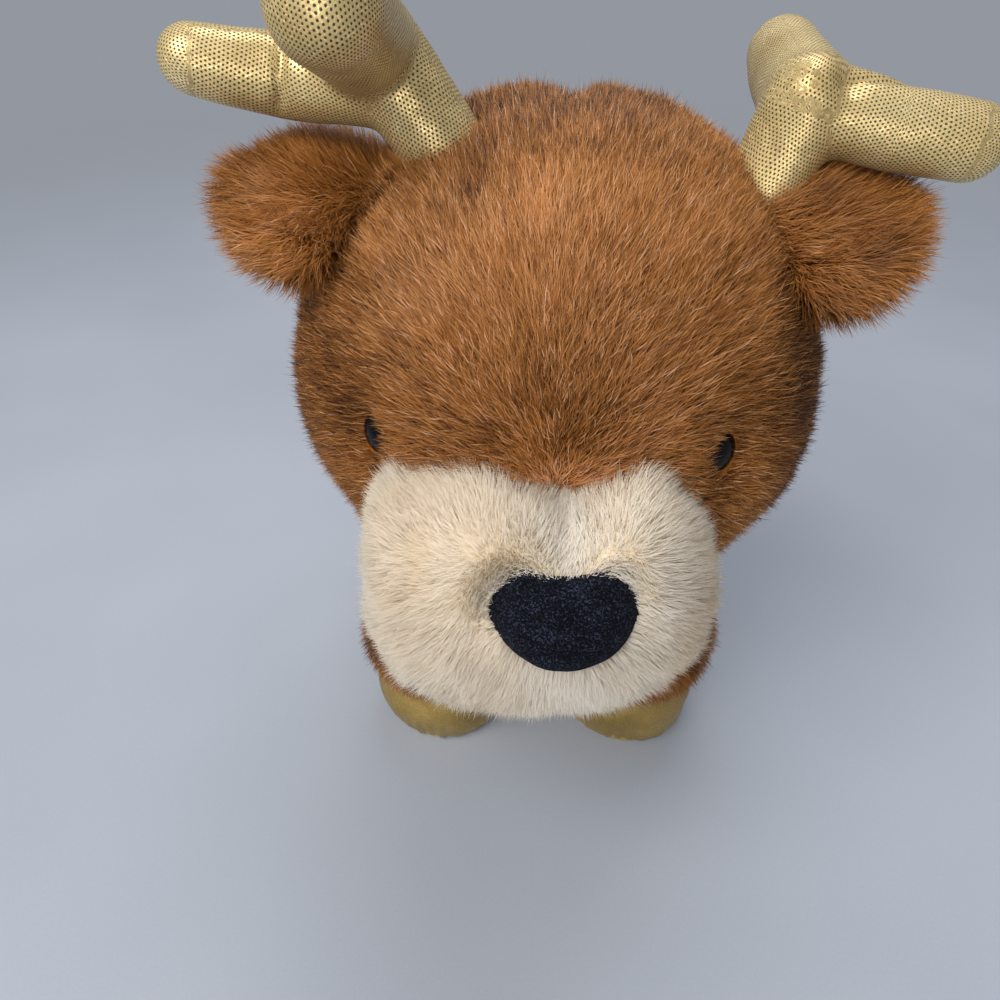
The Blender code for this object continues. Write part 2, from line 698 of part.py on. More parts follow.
def make_tail(root, body_pieces):
    """A short stuffed tail that hangs back from the rump on a ball root."""
    rump = BODY_LENGTH - CHEST_FORWARD
    pivot = empty("tail_pivot", (0.0, rump - TAIL_INSET, TAIL_HEIGHT), root)
    points = [(TAIL_RADIUS * wide, TAIL_LENGTH * along) for wide, along in TAIL_OUTLINE_share]
    points += arc(TAIL_BALL_RADIUS, pi / 4, pi, TAIL_BALL_STEPS)
    tail = piece("tail", profile("tail", points), pivot, BROWN_FUR)
    radius = TAIL_BALL_RADIUS + SWIVEL_GAP
    dimple = cutter("tail_dimple", ball("tail_dimple", radius, BALL_SEGMENTS, BALL_RINGS), pivot)
    tail.rotation_euler.x = -TAIL_LEAN
    turn(tail, TAIL_STEPS)
    for item in body_pieces:
        boolean(item, dimple)


def stand_on_origin(root):
    """Moves the whole deer so that its box stands on the origin, centred."""
    bpy.context.view_layer.update()
    graph = bpy.context.evaluated_depsgraph_get()
    corners = []
    for item in PARTS.objects:
        if item.type == "MESH":
            shown = item.evaluated_get(graph)
            corners += [shown.matrix_world @ vertex.co for vertex in shown.data.vertices]
    low = Vector([min(corner[axis] for corner in corners) for axis in range(3)])
    high = Vector([max(corner[axis] for corner in corners) for axis in range(3)])
    root.location = (-(low.x + high.x) / 2, -(low.y + high.y) / 2, -low.z)
    bpy.context.view_layer.update()
    print("size", [round(value, 5) for value in high - low])


def main():
    clear_scene()
    root = empty("deer", (0.0, 0.0, 0.0))
    head_pivot = empty("head_pivot", (0.0, 0.0, HEAD_HEIGHT), root)
    head_cover, head_fill = make_head(head_pivot)
    muzzle_cover, _ = make_muzzle(head_pivot)
    make_nose(head_pivot, muzzle_cover)
    make_eyes(head_pivot, head_cover, head_fill)
    for side, sign in (("left", 1), ("right", -1)):
        ear_way = (Vector(EAR_PLACE_share) * Vector((sign, 1.0, 1.0))).normalized()
        ear_pivot = empty(f"ear_{side}_pivot", ear_way * (HEAD_RADIUS + EAR_GAP), head_pivot)
        make_ear(side, sign, ear_pivot)
        antler_way = Vector(FLOP_DIRECTIONS_share[side]["place"]).normalized()
        antler_place = antler_way * (HEAD_RADIUS - ANTLER_SEAT_DEPTH)
        antler_pivot = empty(f"antler_{side}_pivot", antler_place, head_pivot)
        make_antler(side, antler_pivot, head_cover, head_fill)
    body = make_body(root)
    make_neck(head_pivot, body)
    for end, back in (("front", FRONT_LEG_BACK), ("hind", HIND_LEG_BACK)):
        for side, sign in (("left", 1), ("right", -1)):
            make_leg(f"{end}_{side}", (sign * LEG_SPREAD, back, LEG_PIVOT_HEIGHT), root, body)
    make_tail(root, body)
    stand_on_origin(root)
    for item in PARTS.objects:
        if item.type == "EMPTY":
            print(item.name, [round(value, 5) for value in item.matrix_world.translation])


main()
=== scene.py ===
import json
from itertools import product
from math import cos, pi, radians, sin

import bmesh
import bpy
import numpy as np
from mathutils import Matrix, Vector


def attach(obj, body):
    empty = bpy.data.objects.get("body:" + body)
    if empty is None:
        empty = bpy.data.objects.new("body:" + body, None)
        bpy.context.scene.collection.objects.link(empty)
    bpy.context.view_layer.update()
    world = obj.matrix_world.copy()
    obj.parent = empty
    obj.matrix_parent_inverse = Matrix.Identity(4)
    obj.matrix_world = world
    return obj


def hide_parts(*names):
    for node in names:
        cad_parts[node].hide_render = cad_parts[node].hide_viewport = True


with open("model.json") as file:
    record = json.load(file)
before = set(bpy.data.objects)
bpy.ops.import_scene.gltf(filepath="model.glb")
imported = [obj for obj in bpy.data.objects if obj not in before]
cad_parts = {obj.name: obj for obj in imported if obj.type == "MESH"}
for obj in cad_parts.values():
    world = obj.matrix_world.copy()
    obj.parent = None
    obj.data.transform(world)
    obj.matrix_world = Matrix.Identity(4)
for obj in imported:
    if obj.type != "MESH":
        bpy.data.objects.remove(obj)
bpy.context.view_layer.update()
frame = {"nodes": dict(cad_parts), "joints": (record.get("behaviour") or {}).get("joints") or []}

PIVOTS = {joint["name"]: np.array(joint["pos_m"]) for joint in frame["joints"]}
HEAD = PIVOTS["head_nod"]
SIDES = {"left": 1.0, "right": -1.0}
CORNERS = tuple(f"{end}_{side}" for end in ("front", "hind") for side in SIDES)
MM = 0.001


def mm(*sizes):
    """Millimetres as metres."""
    return np.array(sizes) * MM


# Strands: the share that grows, their width, how many make a piece, and their triangles
THINNING = 1.0
STRAND_WIDTH = 0.22 * MM / THINNING**0.4
STRANDS_PER_PIECE = 39000
STRAND_FACES = np.array(((0, 1, 3), (0, 3, 2), (2, 3, 5), (2, 5, 4), (4, 5, 6)))
STRAND_HEIGHTS = np.array((0.02, 0.02, 0.34, 0.34, 0.67, 0.67, 0.98))
SHORTEST_STRAND = 1.0 * MM
ROOT_DEPTH = 0.4  # millimetres
STRAND_PARTS = (0.32, 0.34, 0.34)
STRAND_TAPER = (1.0, 1.0, 0.75)
STRAY_SHARE, GLINT_SHARE = 0.10, 0.14

# How unevenly strands grow, with angles in degrees
WAY_SPREAD, CURL_SPREAD, LEAN_SPREAD, LENGTH_SPREAD = 0.17, 0.16, 7.0, 0.12
WIDTH_RANGE, LEAN_RANGE, MOST_ROLL = (0.70, 1.25), (2.0, 84.0), 60.0

# Length of the pile
HEAD_PILE, MUZZLE_PILE, EAR_PILE = 6.4 * MM, 6.6 * MM, 8.6 * MM
BODY_PILE, NECK_PILE, LEG_PILE, TAIL_PILE = 9.0 * MM, 6.0 * MM, 9.0 * MM, 8.5 * MM

# Skins under the fur, and how far from the centre of the head the body and its pile begin
HEAD_SKIN = 72.5 * MM
HEAD_PLAN = 76.0  # millimetres: the ball on which the head's own forms are placed
BODY_START, BODY_PILE_START, LEG_PILE_START = 75.0 * MM, 76.5 * MM, 76.0 * MM
MUZZLE_CENTRE = HEAD + mm(-4.9, -60.0, -23.4)
MUZZLE_REACH = mm(39.4, 36.3, 33.2)
MUZZLE_POWER, BODY_POWER, NECK_POWER = 3.1, 2.9, 2.4
BRIDGE = HEAD + mm(-1.0, -78.0, 9.0)
BODY_CENTRE = np.array((0.0, HEAD[1] + 0.057, 0.090))
BODY_REACH = mm(54.0, 78.0, 40.5)
NECK_REACH, NECK_TILT = mm(29.0, 29.0, 17.0), radians(38.0)

# Ears: the outline is a turn from the way to the tip, in degrees, and a reach in millimetres
EAR_MIDDLES = {"left": (64.8, -14.5, 50.5), "right": (-63.8, -13.3, 55.0)}
EAR_SCALES = {"left": 1.12, "right": 1.0}
EAR_OUTLINE = (
    (-171.0, 20.0), (-152.0, 23.5), (-124.0, 22.6), (-94.0, 22.0), (-70.0, 21.0), (-44.0, 17.0), (-26.0, 20.5),
    (-4.0, 19.5), (20.0, 17.5), (50.0, 18.5), (70.0, 19.5), (96.0, 20.0), (110.0, 18.5), (126.0, 14.5),
    (150.0, 11.5), (172.0, 14.0),
)

# The nose pad's centre and its axes: across, up the pad and out of it
NOSE_TILT = radians(33.0)
NOSE_CENTRE = HEAD + mm(-0.3, -95.0, -6.6)
NOSE_ACROSS = np.array((1.0, 0.0, 0.0))
NOSE_UP = np.array((0.0, sin(NOSE_TILT), cos(NOSE_TILT)))
NOSE_OUT = np.array((0.0, -cos(NOSE_TILT), sin(NOSE_TILT)))
NOSE_FRONT, NOSE_BACK, NOSE_CURVE = 5.2, 3.4, 0.010
NOSE_OUTLINE = (
    (17.0, 2.5), (15.2, 7.6), (12.2, 10.6), (8.6, 11.2), (4.0, 10.4), (-1.0, 10.0), (-5.0, 10.5),
    (-8.6, 11.2), (-12.6, 9.6), (-15.5, 6.2), (-16.7, 1.6), (-14.2, -3.6), (-10.4, -7.6), (-5.0, -10.4),
    (1.0, -11.4), (7.0, -10.0), (12.0, -7.2), (15.2, -3.0),
)

# Lines beside the ears, from one point to another, where the head's fur gets painted shadow in the gap under each
# ear's edge
EAR_SHADE_LINES = (((-55.0, -26.0, 44.0), (-40.0, -21.0, 59.5)), ((54.0, -36.0, 34.0), (51.0, -20.0, 51.0)))
EYES = {"left": HEAD + mm(37.0, -58.3, 12.2), "right": HEAD + mm(-44.6, -52.6, 12.2)}

# Antlers: four tubes each, with their ways, their reaches and the radii at their ends, in millimetres
ANTLERS = {
    "left": {
        "shift": (5.0, 0.0, 2.0), "beam": (0.32, 0.08, 0.90), "upper": (0.06, 0.97, 0.12),
        "outer": (0.96, -0.20, -0.21), "tip": (0.98, -0.14, -0.12), "reaches": (15.5, 35.0, 20.0, 19.0),
        "radii": (9.8, 11.2, 9.6, 9.4, 9.2), "split": 1.0,
    },
    "right": {
        "shift": (2.0, -9.6, 3.5), "beam": (-0.626, 0.231, 0.745), "upper": (-0.04, -0.944, 0.33),
        "outer": (-0.987, 0.159, 0.024), "tip": (-0.95, -0.235, 0.203), "reaches": (21.4, 38.5, 27.7, 20.8),
        "radii": (10.2, 11.4, 11.6, 9.2, 7.8), "split": 0.55,
    },
}


# ---- numbers

def unit(vectors):
    vectors = np.asarray(vectors, float)
    return vectors / np.maximum(np.linalg.norm(vectors, axis=-1, keepdims=True), 1e-12)


def distance(points, place):
    return np.linalg.norm(points - place, axis=1)


def along_skin(ways, normals):
    """What is left of each way along the skin."""
    return ways - normals * np.sum(ways * normals, 1, keepdims=True)


def hashed(cells, seed):
    value = cells[:, 0] * 73856093 ^ cells[:, 1] * 19349663 ^ cells[:, 2] * 83492791 ^ seed * 668265263
    value = (value ^ (value >> 13)) * 1274126177 & 0x7FFFFFFF
    return ((value ^ (value >> 15)) & 0xFFFF) / 32767.5 - 1.0


def noise(points, size, seed):
    """Smooth value noise from -1 to 1, with bumps about as wide as size."""
    spots = points / size
    cells = np.floor(spots).astype(np.int64)
    part = spots - cells
    part = part * part * (3.0 - 2.0 * part)
    total = np.zeros(len(points))
    for corner in product((0, 1), repeat=3):
        weight = np.ones(len(points))
        for axis, step in enumerate(corner):
            weight *= part[:, axis] if step else 1.0 - part[:, axis]
        total += weight * hashed(cells + np.array(corner), seed)
    return total


def noise_way(points, size, seed):
    return np.stack([noise(points, size, seed + shift) for shift in range(3)], 1)


def smooth(low, high, values):
    part = np.clip((values - low) / (high - low), 0.0, 1.0)
    return part * part * (3.0 - 2.0 * part)


def ridge(values, centre, width):
    """1 along the centre, falling to 0 some widths beside it."""
    return np.exp(-(((values - centre) / width) ** 2))


def bump(points, centre, width):
    """1 at the centre, falling to 0 some widths away."""
    return np.exp(-np.sum(((points - centre) / width) ** 2, -1))


# ---- meshes

def linked(name, data):
    item = bpy.data.objects.new(name, data)
    bpy.context.scene.collection.objects.link(item)
    return item


def mesh_object(name, points, faces):
    mesh = bpy.data.meshes.new(name)
    mesh.from_pydata([tuple(point) for point in points], [], [tuple(face) for face in faces])
    mesh.shade_smooth()
    return linked(name, mesh)


def sphere_ways(level):
    """Unit directions and triangles of a fine ball, from an icosahedron."""
    ball = bmesh.new()
    bmesh.ops.create_icosphere(ball, subdivisions=level, radius=1.0)
    ways = np.array([corner.co[:] for corner in ball.verts])
    faces = np.array([[corner.index for corner in face.verts] for face in ball.faces])
    ball.free()
    return unit(ways), faces


def ring_faces(rings, steps):
    """Triangles over rings of points that lie between one first and one last point."""
    faces = []
    top = 1 + (rings - 1) * steps
    for step in range(steps):
        after = (step + 1) % steps
        faces.append((0, 1 + step, 1 + after))
        for here in range(1, top, steps):
            faces.append((here + step, here + steps + step, here + steps + after))
            faces.append((here + step, here + steps + after, here + after))
        faces.append((top + step, top + steps, top + after))
    return np.array(faces)


def lathe(outline, steps):
    """Points and triangles turned from (radius, height) points that start and end on the axis."""
    outline = np.array(outline, float)
    turns = np.arange(steps) * 2 * pi / steps
    rings = [
        np.stack([radius * np.cos(turns), radius * np.sin(turns), np.full(steps, height)], 1)
        for radius, height in outline[1:-1]
    ]
    points = np.concatenate([[(0.0, 0.0, outline[0][1])], *rings, [(0.0, 0.0, outline[-1][1])]])
    return points, ring_faces(len(rings), steps)


def catmull_rom(points, count, closed=False):
    """A smooth curve through points, in count steps from each to the next."""
    points = np.array(points, float)
    if closed:
        padded = np.concatenate([points[-1:], points, points[:2]])
    else:
        padded = np.concatenate([[2 * points[0] - points[1]], points, [2 * points[-1] - points[-2]]])
    curve = []
    for a, b, c, d in zip(padded, padded[1:], padded[2:], padded[3:]):
        for t in np.arange(count) / count:
            bends = (2 * a - 5 * b + 4 * c - d) * t**2 + (3 * b - a - 3 * c + d) * t**3
            curve.append(0.5 * (2 * b + (c - a) * t + bends))
    return np.array(curve if closed else curve + [points[-1]])


def turned(outline, count, steps):
    """A lathe's form from a few points in millimetres, with a smooth outline that never crosses the axis."""
    outline = catmull_rom(outline, count)
    outline[:, 0] = np.maximum(outline[:, 0], 0.0)
    return lathe(outline * MM, steps)


def aimed(points, way):
    """Points turned so that their z axis runs along way."""
    return points @ np.array(Vector(way).to_track_quat("Z", "Y").to_matrix()).T


def vertex_normals(points, faces):
    corners = points[faces]
    face_normals = np.cross(corners[:, 1] - corners[:, 0], corners[:, 2] - corners[:, 0])
    normals = np.zeros_like(points)
    for corner in range(3):
        np.add.at(normals, faces[:, corner], face_normals)
    return unit(normals)


def superball(ways, reach, power):
    """Distance from the centre to a rounded box, along each direction."""
    return np.sum(np.abs(ways / reach) ** power, 1) ** (-1.0 / power)


# ---- fur

def scatter(points, faces, density, rng):
    """Roots spread evenly over a skin, with its normals there."""
    normals = vertex_normals(points, faces)
    corners = points[faces]
    areas = np.linalg.norm(np.cross(corners[:, 1] - corners[:, 0], corners[:, 2] - corners[:, 0]), axis=1) / 2
    count = int(areas.sum() / MM**2 * density * THINNING)
    chosen = np.searchsorted(np.cumsum(areas) / areas.sum(), (np.arange(count) + rng.random(count)) / count)
    chosen = faces[np.minimum(chosen, len(faces) - 1)]
    first, second = rng.random(count), rng.random(count)
    folded = first + second > 1
    first[folded], second[folded] = 1 - first[folded], 1 - second[folded]
    weights = np.stack([1 - first - second, first, second], 1)[:, :, None]
    return (points[chosen] * weights).sum(1), unit((normals[chosen] * weights).sum(1))


def fur(name, body, skin, density, length, nap, tone, seed, keep=None, slot="brown_fur",
        lean=(28.0, 54.0, 68.0), mess=0.26, clump=0.08, width=1.0, upright=None, speckle=0.09, crisp=0.50):
    """Grows fine tapered strands on a skin, as pieces that ride on a body.

    length, nap, tone, keep and upright take all roots at once and give each strand's length,
    the way it leans, its shade from 0 to 1, whether it is kept and a share by which it leans
    less; length and nap can also be one value for all. lean is the angle from the normal at a
    strand's root, middle and tip. mess and clump turn the nap in wide and in small patches,
    speckle spreads the shades, and crisp is how much of a ribbon's own normal shows. A few
    strays stand up anyway.
    """
    rng = np.random.default_rng(seed)
    roots, normals = scatter(*skin, density, rng)
    if keep is not None:
        kept = keep(roots)
        roots, normals = roots[kept], normals[kept]
    count = len(roots)
    ways = nap(roots) if callable(nap) else np.broadcast_to(nap, roots.shape)
    ways = unit(along_skin(ways, normals))
    ways = ways + mess * noise_way(roots, 12 * MM, seed) + clump * noise_way(roots, 3.5 * MM, seed + 7)
    ways = ways + rng.normal(0.0, WAY_SPREAD, (count, 3))
    ways = unit(along_skin(ways, normals))
    sideways = np.cross(normals, ways) * rng.normal(0.0, CURL_SPREAD, count)[:, None]
    lift = 8.0 * noise(roots, 9 * MM, seed + 11) + 4.0 * noise(roots, 3 * MM, seed + 12)
    lift = lift + rng.normal(0.0, LEAN_SPREAD, count)
    share = 1.0 - upright(roots) if upright is not None else 1.0
    share = share * np.where(rng.random(count) < STRAY_SHARE, 0.5, 1.0)
    lengths = length(roots) if callable(length) else length
    lengths = lengths * (1.0 + 0.07 * noise(roots, 4 * MM, seed + 13) + rng.normal(0.0, LENGTH_SPREAD, count))
    lengths = np.maximum(lengths, SHORTEST_STRAND)
    spine = [roots - normals * ROOT_DEPTH * MM]
    for step, (angle, part) in enumerate(zip(lean, STRAND_PARTS)):
        turn = np.radians(np.clip((angle + lift) * share, *LEAN_RANGE))[:, None]
        way = unit(ways + sideways * step)
        spine.append(spine[-1] + (normals * np.cos(turn) + way * np.sin(turn)) * (lengths * part)[:, None])
    along = unit(spine[3] - spine[0])
    side = unit(np.cross(along, normals) + 1e-9)
    roll = np.radians(rng.uniform(-MOST_ROLL, MOST_ROLL, count))[:, None]
    side = side * np.cos(roll) + np.cross(along, side) * np.sin(roll)
    facing = np.cross(side, along)
    side = side * np.sign(np.sum(facing * normals, 1, keepdims=True) + 1e-9)
    soft_normals = unit(normals * 0.80 + unit(np.cross(side, along)) * crisp)
    half = side * (STRAND_WIDTH * width / 2 * rng.uniform(*WIDTH_RANGE, count))[:, None]
    edges = [spot + half * part for spot, taper in zip(spine, STRAND_TAPER) for part in (-taper, taper)]
    points = np.stack([*edges, spine[3]], 1)
    # painted glints: a few strands are made much paler, standing in for highlights
    glints = 2.6 * speckle * (rng.random(count) < GLINT_SHARE)
    shades = np.clip(tone(roots) + rng.normal(0.0, speckle, count) + glints, 0.02, 0.98)
    order = np.argsort(rng.random(count)) if count > STRANDS_PER_PIECE else np.arange(count)
    for number, start in enumerate(range(0, count, STRANDS_PER_PIECE)):
        some = order[start:start + STRANDS_PER_PIECE]
        title = f"{name}_{number + 1}" if count > STRANDS_PER_PIECE else name
        piece = strand_piece(title, points[some], shades[some], soft_normals[some])
        piece.data.materials.append(PILES[slot])
        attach(piece, body)


def strand_piece(name, points, shades, normals):
    count, rows = points.shape[:2]
    faces = (STRAND_FACES[None] + (np.arange(count) * rows)[:, None, None]).reshape(-1, 3)
    mesh = bpy.data.meshes.new(name)
    mesh.vertices.add(count * rows)
    mesh.vertices.foreach_set("co", points.reshape(-1).astype(np.float32))
    mesh.loops.add(faces.size)
    mesh.loops.foreach_set("vertex_index", faces.reshape(-1).astype(np.int32))
    mesh.polygons.add(len(faces))
    mesh.polygons.foreach_set("loop_start", np.arange(0, faces.size, 3, dtype=np.int32))
    mesh.update(calc_edges=True)
    mesh.shade_smooth()
    layer = mesh.uv_layers.new(name="OFBake")
    spots = np.stack([np.repeat(shades, rows), np.tile(STRAND_HEIGHTS, count)], 1)
    layer.uv.foreach_set("vector", spots[faces.reshape(-1)].reshape(-1).astype(np.float32))
    mesh.normals_split_custom_set_from_vertices(np.repeat(normals, rows, 0).tolist())
    return linked(name, mesh)


# ---- materials

def srgb(red, green, blue):
    """A colour of the screen, 0 to 255, as the linear one of the nodes."""
    values = [value / 255 for value in (red, green, blue)]
    linear = [value / 12.92 if value <= 0.04045 else ((value + 0.055) / 1.055) ** 2.4 for value in values]
    return (*linear, 1.0)


class Nodes:
    """A short way to write the nodes of a material, or of a world."""

    def __init__(self, name, kind="materials"):
        self.owner = getattr(bpy.data, kind).new(name)
        self.owner.use_nodes = True
        self.tree = self.owner.node_tree
        self.shader = self.tree.nodes.get("Principled BSDF")

    def add(self, kind, inputs=None, **settings):
        node = self.tree.nodes.new("ShaderNode" + kind)
        for key, value in settings.items():
            setattr(node, key, value)
        for key, value in (inputs or {}).items():
            self.put(node.inputs[key], value)
        return node

    def put(self, socket, value):
        if isinstance(value, bpy.types.NodeSocket):
            self.tree.links.new(value, socket)
        else:
            socket.default_value = value

    def math(self, operation, *values, clamp=False):
        node = self.add("Math", operation=operation, use_clamp=clamp)
        for socket, value in zip(node.inputs, values):
            self.put(socket, value)
        return node.outputs[0]

    def times(self, first, second):
        return self.math("MULTIPLY", first, second)

    def weighed(self, first, share, second):
        """The first value in this share and the second in the rest."""
        return self.math("ADD", self.times(first, share), self.times(second, 1.0 - share))

    def ramp(self, factor, stops):
        """A ramp of the screen's colours, 0 to 255, or of ready ones with four values."""
        node = self.add("ValToRGB", {"Fac": factor})
        elements = node.color_ramp.elements
        while len(elements) < len(stops):
            elements.new(0.5)
        for element, (place, colour) in zip(elements, stops):
            element.position = place
            element.color = colour if len(colour) == 4 else srgb(*colour)
        return node.outputs["Color"]

    def mix(self, factor, first, second, blend="MIX"):
        node = self.add("Mix", data_type="RGBA", blend_type=blend)
        self.put(node.inputs["Factor"], factor)
        self.put(node.inputs["A"], first)
        self.put(node.inputs["B"], second)
        return node.outputs["Result"]

    def place(self):
        return self.add("TexCoord").outputs["Object"]

    def noise(self, scale, detail=3.0, roughness=0.5):
        node = self.add("TexNoise", {
            "Vector": self.place(), "Scale": scale, "Detail": detail, "Roughness": roughness,
        })
        return node.outputs["Fac"]

    def bump(self, height, strength, distance):
        node = self.add("Bump", {"Height": height, "Strength": strength, "Distance": distance})
        self.put(self.shader.inputs["Normal"], node.outputs["Normal"])

    def seen(self):
        """1 where the camera looks, straight or in a glossy piece, and 0 for other light."""
        rays = self.add("LightPath").outputs
        return self.math("MAXIMUM", rays["Is Camera Ray"], rays["Is Glossy Ray"])

    def blend(self, share, first, second, output="Material Output"):
        """Two mixed shaders as the surface."""
        mixed = self.add("MixShader", {0: share, 1: first, 2: second})
        self.put(self.tree.nodes[output].inputs["Surface"], mixed.outputs["Shader"])

    def finish(self, **values):
        for key, value in values.items():
            self.put(self.shader.inputs[key.replace("_", " ")], value)
        return self.owner


FOIL_METAL = 0.50


def grey(value):
    return (value, value, value, 1.0)


def fur_material(name, tones, root, tip, tip_share, through, sheen_tint):
    """Colour by a strand's tone, darker towards its root and paler towards its tip as a painted sheen, from its own
    map; some light goes through.
    """
    nodes = Nodes(name)
    spot = nodes.add("UVMap", uv_map="OFBake").outputs["UV"]
    parts = nodes.add("SeparateXYZ", {"Vector": spot})
    shade = nodes.ramp(parts.outputs["X"], tones)
    depth = nodes.ramp(parts.outputs["Y"], ((0.0, grey(root)), (0.45, grey(0.85)), (1.0, grey(1.0))))
    colour = nodes.mix(1.0, shade, depth, "MULTIPLY")
    # painted sheen: the tips turn paler towards the tip colour, more so on the paler strands
    share = nodes.times(parts.outputs["X"], tip_share)
    colour = nodes.mix(nodes.times(nodes.math("POWER", parts.outputs["Y"], 2.0), share), colour, tip)
    rough = nodes.math("MULTIPLY_ADD", parts.outputs["Y"], -0.08, 0.50)
    nodes.finish(
        Base_Color=colour, Roughness=rough, Specular_IOR_Level=0.22,
        Sheen_Weight=0.05, Sheen_Roughness=0.45, Sheen_Tint=sheen_tint,
    )
    glow = nodes.add("BsdfTranslucent", {"Color": colour})
    nodes.blend(through, nodes.shader.outputs["BSDF"], glow.outputs["BSDF"])
    return nodes.owner


def backing_material(name, dark, light):
    """The pile's own depth between the strands: fine short streaks."""
    nodes = Nodes(name)
    patches = nodes.noise(160.0, 4.0)
    streaks = nodes.noise(1500.0, 3.0, 0.6)
    colour = nodes.ramp(nodes.weighed(patches, 0.4, streaks), ((0.38, dark), (0.62, light)))
    nodes.bump(streaks, 0.6, 0.6 * MM)
    rough = nodes.math("MULTIPLY_ADD", patches, 0.2, 0.75)
    return nodes.finish(Base_Color=colour, Roughness=rough, Specular_IOR_Level=0.1)


def knit_dots(nodes, pitch=1.02 * MM, row_share=0.866, reach=0.19, edge=0.09):
    """1 on each small dot of a knit, in staggered rows on the cloth's own map, which drift a little."""
    spot = nodes.add("UVMap", uv_map="knit").outputs["UV"]
    drift = nodes.add("TexNoise", {"Vector": spot, "Scale": 90.0, "Detail": 1.0}).outputs["Color"]
    drift = nodes.add("VectorMath", {0: drift, 1: (0.5, 0.5, 0.5)}, operation="SUBTRACT").outputs[0]
    drift = nodes.add("VectorMath", {0: drift, "Scale": 2.4 * MM}, operation="SCALE").outputs[0]
    spot = nodes.add("VectorMath", {0: spot, 1: drift}, operation="ADD").outputs[0]
    parts = nodes.add("SeparateXYZ", {"Vector": spot})
    row = nodes.math("DIVIDE", parts.outputs["Y"], pitch * row_share)
    above_zero = nodes.math("ADD", nodes.math("FLOOR", row), 4000.0)
    stagger = nodes.times(nodes.math("MODULO", above_zero, 2.0), 0.5)
    column = nodes.math("ADD", nodes.math("DIVIDE", parts.outputs["X"], pitch), stagger)
    across = nodes.math("SUBTRACT", nodes.math("FRACT", column), 0.5)
    down = nodes.times(nodes.math("SUBTRACT", nodes.math("FRACT", row), 0.5), 0.80)
    squares = [nodes.times(part, part) for part in (across, down)]
    beyond = nodes.math("SUBTRACT", nodes.math("SQRT", nodes.math("ADD", *squares)), reach)
    return nodes.math("SUBTRACT", 1.0, nodes.math("DIVIDE", beyond, edge, clamp=True), clamp=True)


def foil_material(name, tones, dots):
    """Metallic knit; with dots, rows of small dark dots follow the cloth's own map."""
    nodes = Nodes(name)
    fine = nodes.noise(1400.0, 2.0, 0.7)
    shade = nodes.ramp(nodes.weighed(nodes.noise(55.0), 0.7, fine), tones)
    grain = nodes.add("TexVoronoi", {"Vector": nodes.place(), "Scale": 2600.0}).outputs["Color"]
    glint = nodes.math("POWER", nodes.add("SeparateColor", {"Color": grain}).outputs[0], 6.0)
    hue = nodes.add("HueSaturation", {
        "Hue": nodes.math("MULTIPLY_ADD", glint, -0.03, 0.51), "Saturation": 1.0,
        "Value": nodes.math("MULTIPLY_ADD", glint, 0.7, 0.92), "Color": shade,
    }).outputs["Color"]
    rough = nodes.math("MULTIPLY_ADD", glint, -0.16, 0.42)
    height = nodes.math("ADD", nodes.times(fine, 0.35), nodes.times(glint, 0.5))
    metal = FOIL_METAL
    if dots:
        dot = knit_dots(nodes)
        hue = nodes.mix(dot, hue, srgb(58, 50, 28))
        height = nodes.math("SUBTRACT", height, nodes.times(dot, 1.2))
        rough = nodes.math("ADD", rough, nodes.times(dot, 0.25))
        metal = nodes.math("SUBTRACT", FOIL_METAL, nodes.times(dot, 0.4))
    nodes.bump(height, 0.55, 0.18 * MM)
    return nodes.finish(Base_Color=hue, Roughness=rough, Metallic=metal)


def felt_material():
    nodes = Nodes("nose_felt")
    lint = nodes.noise(2000.0, 3.0, 0.8)
    level = nodes.weighed(lint, 0.85, nodes.noise(240.0))
    colour = nodes.ramp(level, ((0.42, (2, 2, 5)), (0.52, (6, 8, 14)), (0.64, (52, 58, 76))))
    nodes.bump(level, 1.0, 0.6 * MM)
    return nodes.finish(
        Base_Color=colour, Roughness=nodes.math("MULTIPLY_ADD", lint, 0.1, 0.88), Specular_IOR_Level=0.08,
        Sheen_Weight=0.04, Sheen_Roughness=0.6, Sheen_Tint=srgb(130, 140, 165),
    )


def gloss_material():
    nodes = Nodes("eye_gloss")
    smear = nodes.noise(500.0)
    colour = nodes.ramp(smear, ((0.3, (3, 3, 4)), (0.8, (9, 8, 9))))
    rough = nodes.math("MULTIPLY_ADD", smear, 0.05, 0.06)
    return nodes.finish(Base_Color=colour, Roughness=rough, Specular_IOR_Level=0.16)


def washer_material():
    nodes = Nodes("milky_plastic")
    cloud = nodes.noise(400.0)
    nodes.bump(cloud, 0.2, 0.1 * MM)
    colour = nodes.ramp(cloud, ((0.3, (205, 205, 200)), (0.8, (226, 226, 222))))
    return nodes.finish(Base_Color=colour, Roughness=nodes.math("MULTIPLY_ADD", cloud, 0.15, 0.4))


BACKDROP = srgb(147, 151, 159)
# The darkest stops carry painted shade (ear gaps, the sides, the fold by an antler root); the pale pinkish stops at
# 0.80 and 0.90 carry the painted sheen over the brow and the painted glints; the orange stop is the bridge's own
# colour.
BROWN_TONES = (
    (0.0, (30, 14, 7)), (0.14, (104, 56, 18)), (0.32, (148, 90, 32)), (0.55, (184, 118, 48)),
    (0.80, (226, 170, 122)), (0.90, (240, 200, 170)), (1.0, (222, 134, 30)),
)
CREAM_TONES = ((0.0, (220, 190, 150)), (0.35, (236, 214, 182)), (0.7, (247, 234, 212)), (1.0, (253, 248, 240)))
ANTLER_TONES = ((0.25, (176, 146, 92)), (0.55, (210, 184, 130)), (0.8, (236, 218, 178)))
HOOF_TONES = ((0.25, (124, 98, 50)), (0.55, (154, 126, 68)), (0.8, (182, 156, 96)))
PILES = {
    "brown_fur": fur_material("brown_fur", BROWN_TONES, 0.62, srgb(236, 182, 118), 0.60, 0.38, srgb(226, 180, 150)),
    "cream_fur": fur_material("cream_fur", CREAM_TONES, 0.97, srgb(254, 250, 242), 0.80, 0.48, srgb(250, 240, 225)),
}
